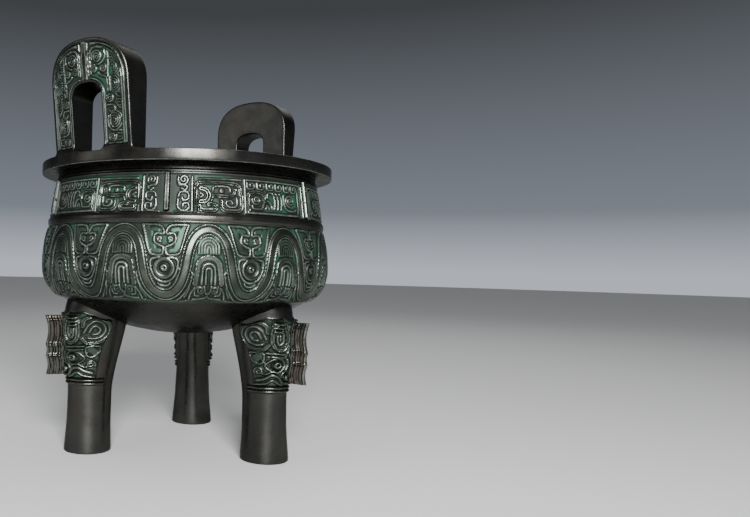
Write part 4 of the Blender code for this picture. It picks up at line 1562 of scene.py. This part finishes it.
    def carving(self, angle: Array, height: Array) -> tuple[Array, Array, Array]:
        """Returns the mask's and collar's heights in millimetres, the part carved, and its plate.

        The plate's top edge falls towards its ends and waves with the horns, by a sine of seven
        times the angle, and a collar's ring is half an ellipse high.

        Args:
            angle: Angles round the leg in radians.
            height: Heights.

        Returns:
            The three grids.
        """
        angle, height = np.broadcast_arrays(angle, height)
        degrees = np.degrees(np.abs(angle))
        up = (height - self.mask_foot) / MM
        tall = (self.mask_top - self.mask_foot) / MM
        reach = np.interp(up / tall, (0.0, 0.5, 0.80, 0.92, 1.0), (88.0, 94.0, 108.0, 106.0, 94.0))
        crown = tall - 3.4 * ramp((degrees - 60.0) / 45.0) + 0.9 * np.sin(np.radians(degrees) * 7.0)
        crown = crown + 2.6 * ramp((degrees - 8.0) / 14.0) * ramp((66.0 - degrees) / 16.0)
        plate = ramp((reach - degrees) / 5.0 + 0.5) * ramp(up / 1.4 + 0.4) * ramp((crown - up) / 2.0 + 0.5)
        strokes = self.mask_strokes().heights(np.radians(degrees) * self.around_mm, up)
        level = plate * (self.plate_mm + strokes * 0.95)
        ends = ramp((114.0 - degrees) / 8.0)
        for offset in (-0.00165, 0.00165):
            ring = np.clip(1 - ((height - self.collar - offset) / 0.0015) ** 2, 0.0, 1.0)
            level = np.maximum(level, 2.2 * np.sqrt(ring) * ends)
        return level, plate * ramp(up / 1.0), plate * self.plate_mm

    def place(self, points: Array) -> Array:
        """Returns points turned round the bowl's axis to the leg's own place.

        Args:
            points: Points with the leg on -Y.

        Returns:
            The turned points.
        """
        turn = 2 * math.pi * self.index / LEG_COUNT
        cos, sin = math.cos(turn), math.sin(turn)
        x, y, z = points[..., 0], points[..., 1], points[..., 2]
        return np.stack([cos * x - sin * y, sin * x + cos * y, z], -1)

    def build(self, material: bpy.types.Material) -> None:
        """Makes the leg: rings from its sole up into the bowl's wall, which its last ring follows.

        Args:
            material: Its finish.
        """
        angle = np.linspace(-math.pi, math.pi, self.columns, endpoint=False)[None, :]
        low = np.array([0.0, 0.0003, 0.0007, 0.0012])
        levels = np.concatenate([low, np.linspace(0.004, 0.0625, 16), np.linspace(0.0634, 0.1352, 112)])
        levels = levels[:, None] * np.ones_like(angle)
        top = np.full_like(angle, 0.140)
        for _ in range(4):
            spots = self.shaft(angle, top, np.zeros_like(angle))
            top = bottom_height(np.hypot(spots[..., 0], spots[..., 1]), self.sink)
        last = np.minimum(levels, top - 0.0004)
        upper = last[-1:] + (top - last[-1:]) * np.linspace(0.1, 1.0, 9)[:, None]
        height = np.vstack([last, upper])
        level, carved, plate = self.carving(angle, height)
        level = level * ramp((top - 0.0015 - height) / 0.003)
        rings = self.shaft(angle, height, level * MM)
        middle = np.array([[0.0, -self.distance, 0.0]])
        crown = rings[-1].mean(0, keepdims=True)
        shares = relief_shares(level - plate, carved, 1.5, True)
        # The sole's edge and the collar rings are painted bright, partly as wear and partly as a painted
        # highlight
        sole = 0.5 * ramp((0.0016 - height) / 0.001)
        collar = (level - plate > 1.2) & (carved < 0.05)
        crest = np.where(carved > 0.05, shares[2], np.maximum(sole, 0.6 * collar))
        skin = capped_tube(rings, (middle, crown), (carved, shares[1], crest))
        skin.points = self.place(skin.points)
        skin.build("leg_%d" % self.index, material)


@dataclass
class Fin:
    """The tall fin on a mask's nose line, with a scalloped outer edge and cross ticks."""

    index: int
    root: float = 0.1200
    reach: float = 0.1445
    lean: float = 0.0022
    scallop: float = 0.0028
    notches: tuple[float, ...] = (0.0, 0.32, 0.505, 1.0)
    thickness: float = 0.0052
    bevel: float = 0.0011
    top_tick: float = 0.93
    low: float = 0.0759
    high: float = 0.1336
    rows: int = 80
    grooves_mm: tuple[float, ...] = (2.8, 6.4, 8.4, 12.0, 14.0)

    def outline(self, share: Array) -> Array:
        """Returns how far the outer edge stands out.

        It leans out upwards, less one half wave of a sine between each notch and the next, whose
        depth goes with its length.

        Args:
            share: Shares of the fin's height.

        Returns:
            Distances from the bowl's axis.
        """
        notches = np.array(self.notches)
        place = np.clip(np.searchsorted(notches, share, side="right") - 1, 0, len(notches) - 2)
        start, span = notches[place], np.diff(notches)[place]
        depth = 2 * self.scallop * span * np.sin(math.pi * (share - start) / span)
        return self.reach + self.lean * share - depth

    def relief(self, out_mm: Array, share: Array) -> Array:
        """Returns the height of the lines on the fin's sides, in millimetres.

        Pairs of grooves follow the scallops upwards, and double ticks cross them.

        Args:
            out_mm: Distance inwards from the outer edge.
            share: Share of the fin's height.

        Returns:
            Heights, below 0 in the grooves.
        """
        level = np.zeros(np.broadcast_shapes(out_mm.shape, share.shape))
        for groove in self.grooves_mm:
            level = level - 0.8 * np.exp(-(((out_mm - groove) / 0.5) ** 2))
        for place in (*self.notches[1:-1], self.top_tick):
            rise = (share - place) * (self.high - self.low) / MM
            tick = np.exp(-(((np.abs(rise) - 1.0) / 0.45) ** 2))
            level = level + 0.9 * tick * ramp((self.grooves_mm[-1] - out_mm) / 1.5)
        return level

    def build(self, material: bpy.types.Material, leg: Leg) -> None:
        """Makes the fin: a rounded blade section carried up its height.

        Args:
            material: Its finish.
            leg: The leg that it stands on.
        """
        share = np.linspace(0.0, 1.0, self.rows)[:, None]
        edge = self.outline(share)
        half = self.thickness / 2
        side = np.linspace(0.0, 1.0, 36)[None, :]
        angle = np.linspace(0.0, math.pi, 9)[1:-1][None, :]
        flat = self.root + (edge - self.bevel - self.root) * side
        level = self.relief((edge - flat) / MM, share)
        out = np.hstack([flat, edge - self.bevel + self.bevel * np.sin(angle), flat[:, ::-1]])
        swell = half + level * MM
        tip = np.broadcast_to(half * np.cos(angle), (self.rows, angle.shape[1]))
        across = np.hstack([swell, tip, -swell[:, ::-1]])
        taper = 1 - 0.35 * ramp(1 - np.minimum(share, 1 - share) / 0.012)
        height = self.low + share * (self.high - self.low) + np.zeros_like(out)
        rings = np.stack([across * taper, -out, height], -1)
        blank = np.zeros_like(out)
        # The grooves get painted shade, and the outer edge and both ends are painted bright, partly as wear
        # and partly as a painted highlight
        flat_crest = np.clip(level * 1.2, -1.0, 0.4)
        crest = np.hstack([flat_crest, np.full_like(tip, 0.8), flat_crest[:, ::-1]])
        rim = ramp(1 - np.minimum(share, 1 - share) / 0.02)
        crest = np.maximum(crest, 0.7 * rim)
        ends = tuple(rings[index].mean(0, keepdims=True) for index in (0, -1))
        skin = capped_tube(rings, ends, (blank + 0.25, blank + 0.8, crest))
        skin.points = leg.place(skin.points)
        skin.build("fin_%d" % self.index, material)


@dataclass
class Studio:
    """Camera, pale floor and soft light."""

    azimuth: float = -53.07
    distance: float = 0.7453
    height: float = 0.1838
    pitch: float = 0.67
    roll: float = 1.35
    focal_px: float = 704.79
    picture_width: float = 750.0
    axis_px: float = 185.0
    backdrop: float = 1.0
    floor_radius: float = 9.0
    floor_corners: int = 96
    aim_height: float = 0.2
    overhead_strength: float = 0.65
    overhead_spread: float = 50.0

    def camera(self) -> None:
        """Sets the camera at the photograph's viewing angle."""
        data = bpy.data.cameras.new("camera")
        data.sensor_width = 36.0
        data.lens = data.sensor_width * self.focal_px / self.picture_width
        data.shift_x = 0.5 - self.axis_px / self.picture_width
        camera = placed("camera", data)
        turn, tilt = math.radians(self.azimuth), math.radians(self.pitch)
        camera.location = (self.distance * math.sin(turn), -self.distance * math.cos(turn), self.height)
        ahead = Vector((-math.sin(turn) * math.cos(tilt), math.cos(turn) * math.cos(tilt), math.sin(tilt)))
        camera.rotation_mode = "QUATERNION"
        facing = ahead.to_track_quat("-Z", "Y")
        camera.rotation_quaternion = facing @ Quaternion((0.0, 0.0, 1.0), math.radians(self.roll))
        bpy.context.scene.camera = camera

    def floor(self) -> None:
        """Makes the round pale floor."""
        azimuths = np.linspace(0.0, 2 * math.pi, self.floor_corners, endpoint=False)
        level = np.zeros_like(azimuths)
        points = turned(azimuths, level + self.floor_radius, level)
        mesh = bpy.data.meshes.new("floor")
        mesh.from_pydata(points.tolist(), [], [list(range(self.floor_corners))])
        sketch = Sketch("floor")
        tone = sketch.blend(sketch.noise(1.4, 3.0), (0.64, 0.64, 0.64), (0.68, 0.68, 0.68))
        sketch.feed(sketch.shader.inputs["Base Color"], tone)
        sketch.shader.inputs["Roughness"].default_value = 0.6
        mesh.materials.append(sketch.material)
        placed("floor", mesh)

    def lamp(self, name: str, turn: float, rise: float, away: float, size: float, power: float) -> None:
        """Adds one soft square lamp that faces the vessel.

        Args:
            name: The lamp's name.
            turn: Its azimuth, counted from the camera's, in degrees.
            rise: Its elevation in degrees.
            away: Its distance.
            size: Its side.
            power: Its power in watts.
        """
        data = bpy.data.lights.new(name, "AREA")
        data.size = size
        data.energy = power
        lamp = placed(name, data)
        turn, rise = math.radians(self.azimuth + turn), math.radians(rise)
        back = Vector((math.sin(turn) * math.cos(rise), -math.cos(turn) * math.cos(rise), math.sin(rise)))
        lamp.location = Vector((0.0, 0.0, self.aim_height)) + back * away
        lamp.rotation_mode = "QUATERNION"
        lamp.rotation_quaternion = (-back).to_track_quat("-Z", "Y")
        lamp.visible_camera = False

    def overhead(self) -> None:
        """Adds the even overhead light that reaches the far floor too."""
        data = bpy.data.lights.new("overhead", "SUN")
        data.energy = self.overhead_strength
        data.angle = math.radians(self.overhead_spread)
        placed("overhead", data).location = (0.0, 0.0, 2.0)

    def sky(self) -> None:
        """Sets a plain backdrop that is nearly white at the horizon and greyer above."""
        world = bpy.data.worlds.new("studio")
        world.use_nodes = True
        bpy.context.scene.world = world
        nodes, links = world.node_tree.nodes, world.node_tree.links
        place = nodes.new("ShaderNodeTexCoord")
        split = nodes.new("ShaderNodeSeparateXYZ")
        tone = nodes.new("ShaderNodeValToRGB")
        tones = ((0.0, (0.52, 0.55, 0.61)), (0.08, (0.20, 0.22, 0.26)), (0.34, (0.055, 0.059, 0.063)))
        tone.color_ramp.elements.new(0.5)
        for element, (position, color) in zip(tone.color_ramp.elements, tones):
            element.position = position
            element.color = (*color, 1.0)
        links.new(place.outputs["Generated"], split.inputs["Vector"])
        links.new(split.outputs["Z"], tone.inputs["Fac"])
        links.new(tone.outputs["Color"], nodes["Background"].inputs["Color"])
        nodes["Background"].inputs["Strength"].default_value = self.backdrop

    def build(self) -> None:
        """Sets the whole studio."""
        self.camera()
        self.floor()
        self.sky()
        self.lamp("key", 5.0, 21.0, 1.7, 0.6, 74.0)
        self.overhead()
        self.lamp("left", -72.0, 18.0, 2.0, 0.8, 3.8)
        self.lamp("rim", 155.0, 42.0, 1.9, 1.0, 5.0)


def main() -> None:
    """Builds the studio and the vessel, piece by piece."""
    logging.basicConfig(level=logging.INFO, format="%(message)s")
    Studio().build()
    plain = BronzeFinish("bronze_plain", brown_share=0.14).material()
    carved = BronzeFinish("bronze_carved", brown_share=0.12).material()
    ear_finish = BronzeFinish("bronze_ear", brown_share=0.12, metal_light=(0.034, 0.035, 0.031),
                              raised=(0.046, 0.060, 0.048), raised_dark=(0.016, 0.023, 0.018),
                              ground=(0.008, 0.040, 0.024), worn_and_sheen=(0.36, 0.40, 0.35)).material()
    leg_finish = BronzeFinish("bronze_leg", streak=0.6, brown_share=0.12,
                              raised=(0.040, 0.056, 0.044), raised_dark=(0.018, 0.026, 0.020),
                              ground=(0.008, 0.030, 0.019), worn_and_sheen=(0.24, 0.27, 0.23)).material()
    fin_finish = BronzeFinish("bronze_fin", brown_share=0.28, raised=(0.060, 0.070, 0.056),
                              raised_dark=(0.036, 0.042, 0.034)).material()
    Bowl().build(plain)
    WaveBand().build(carved)
    UpperBand().build(carved)
    for side in (-1, 1):
        Ear(side).build(ear_finish)
    for index in range(LEG_COUNT):
        leg = Leg(index)
        leg.build(leg_finish)
        Fin(index).build(fin_finish, leg)


if __name__ == "__main__":
    main()
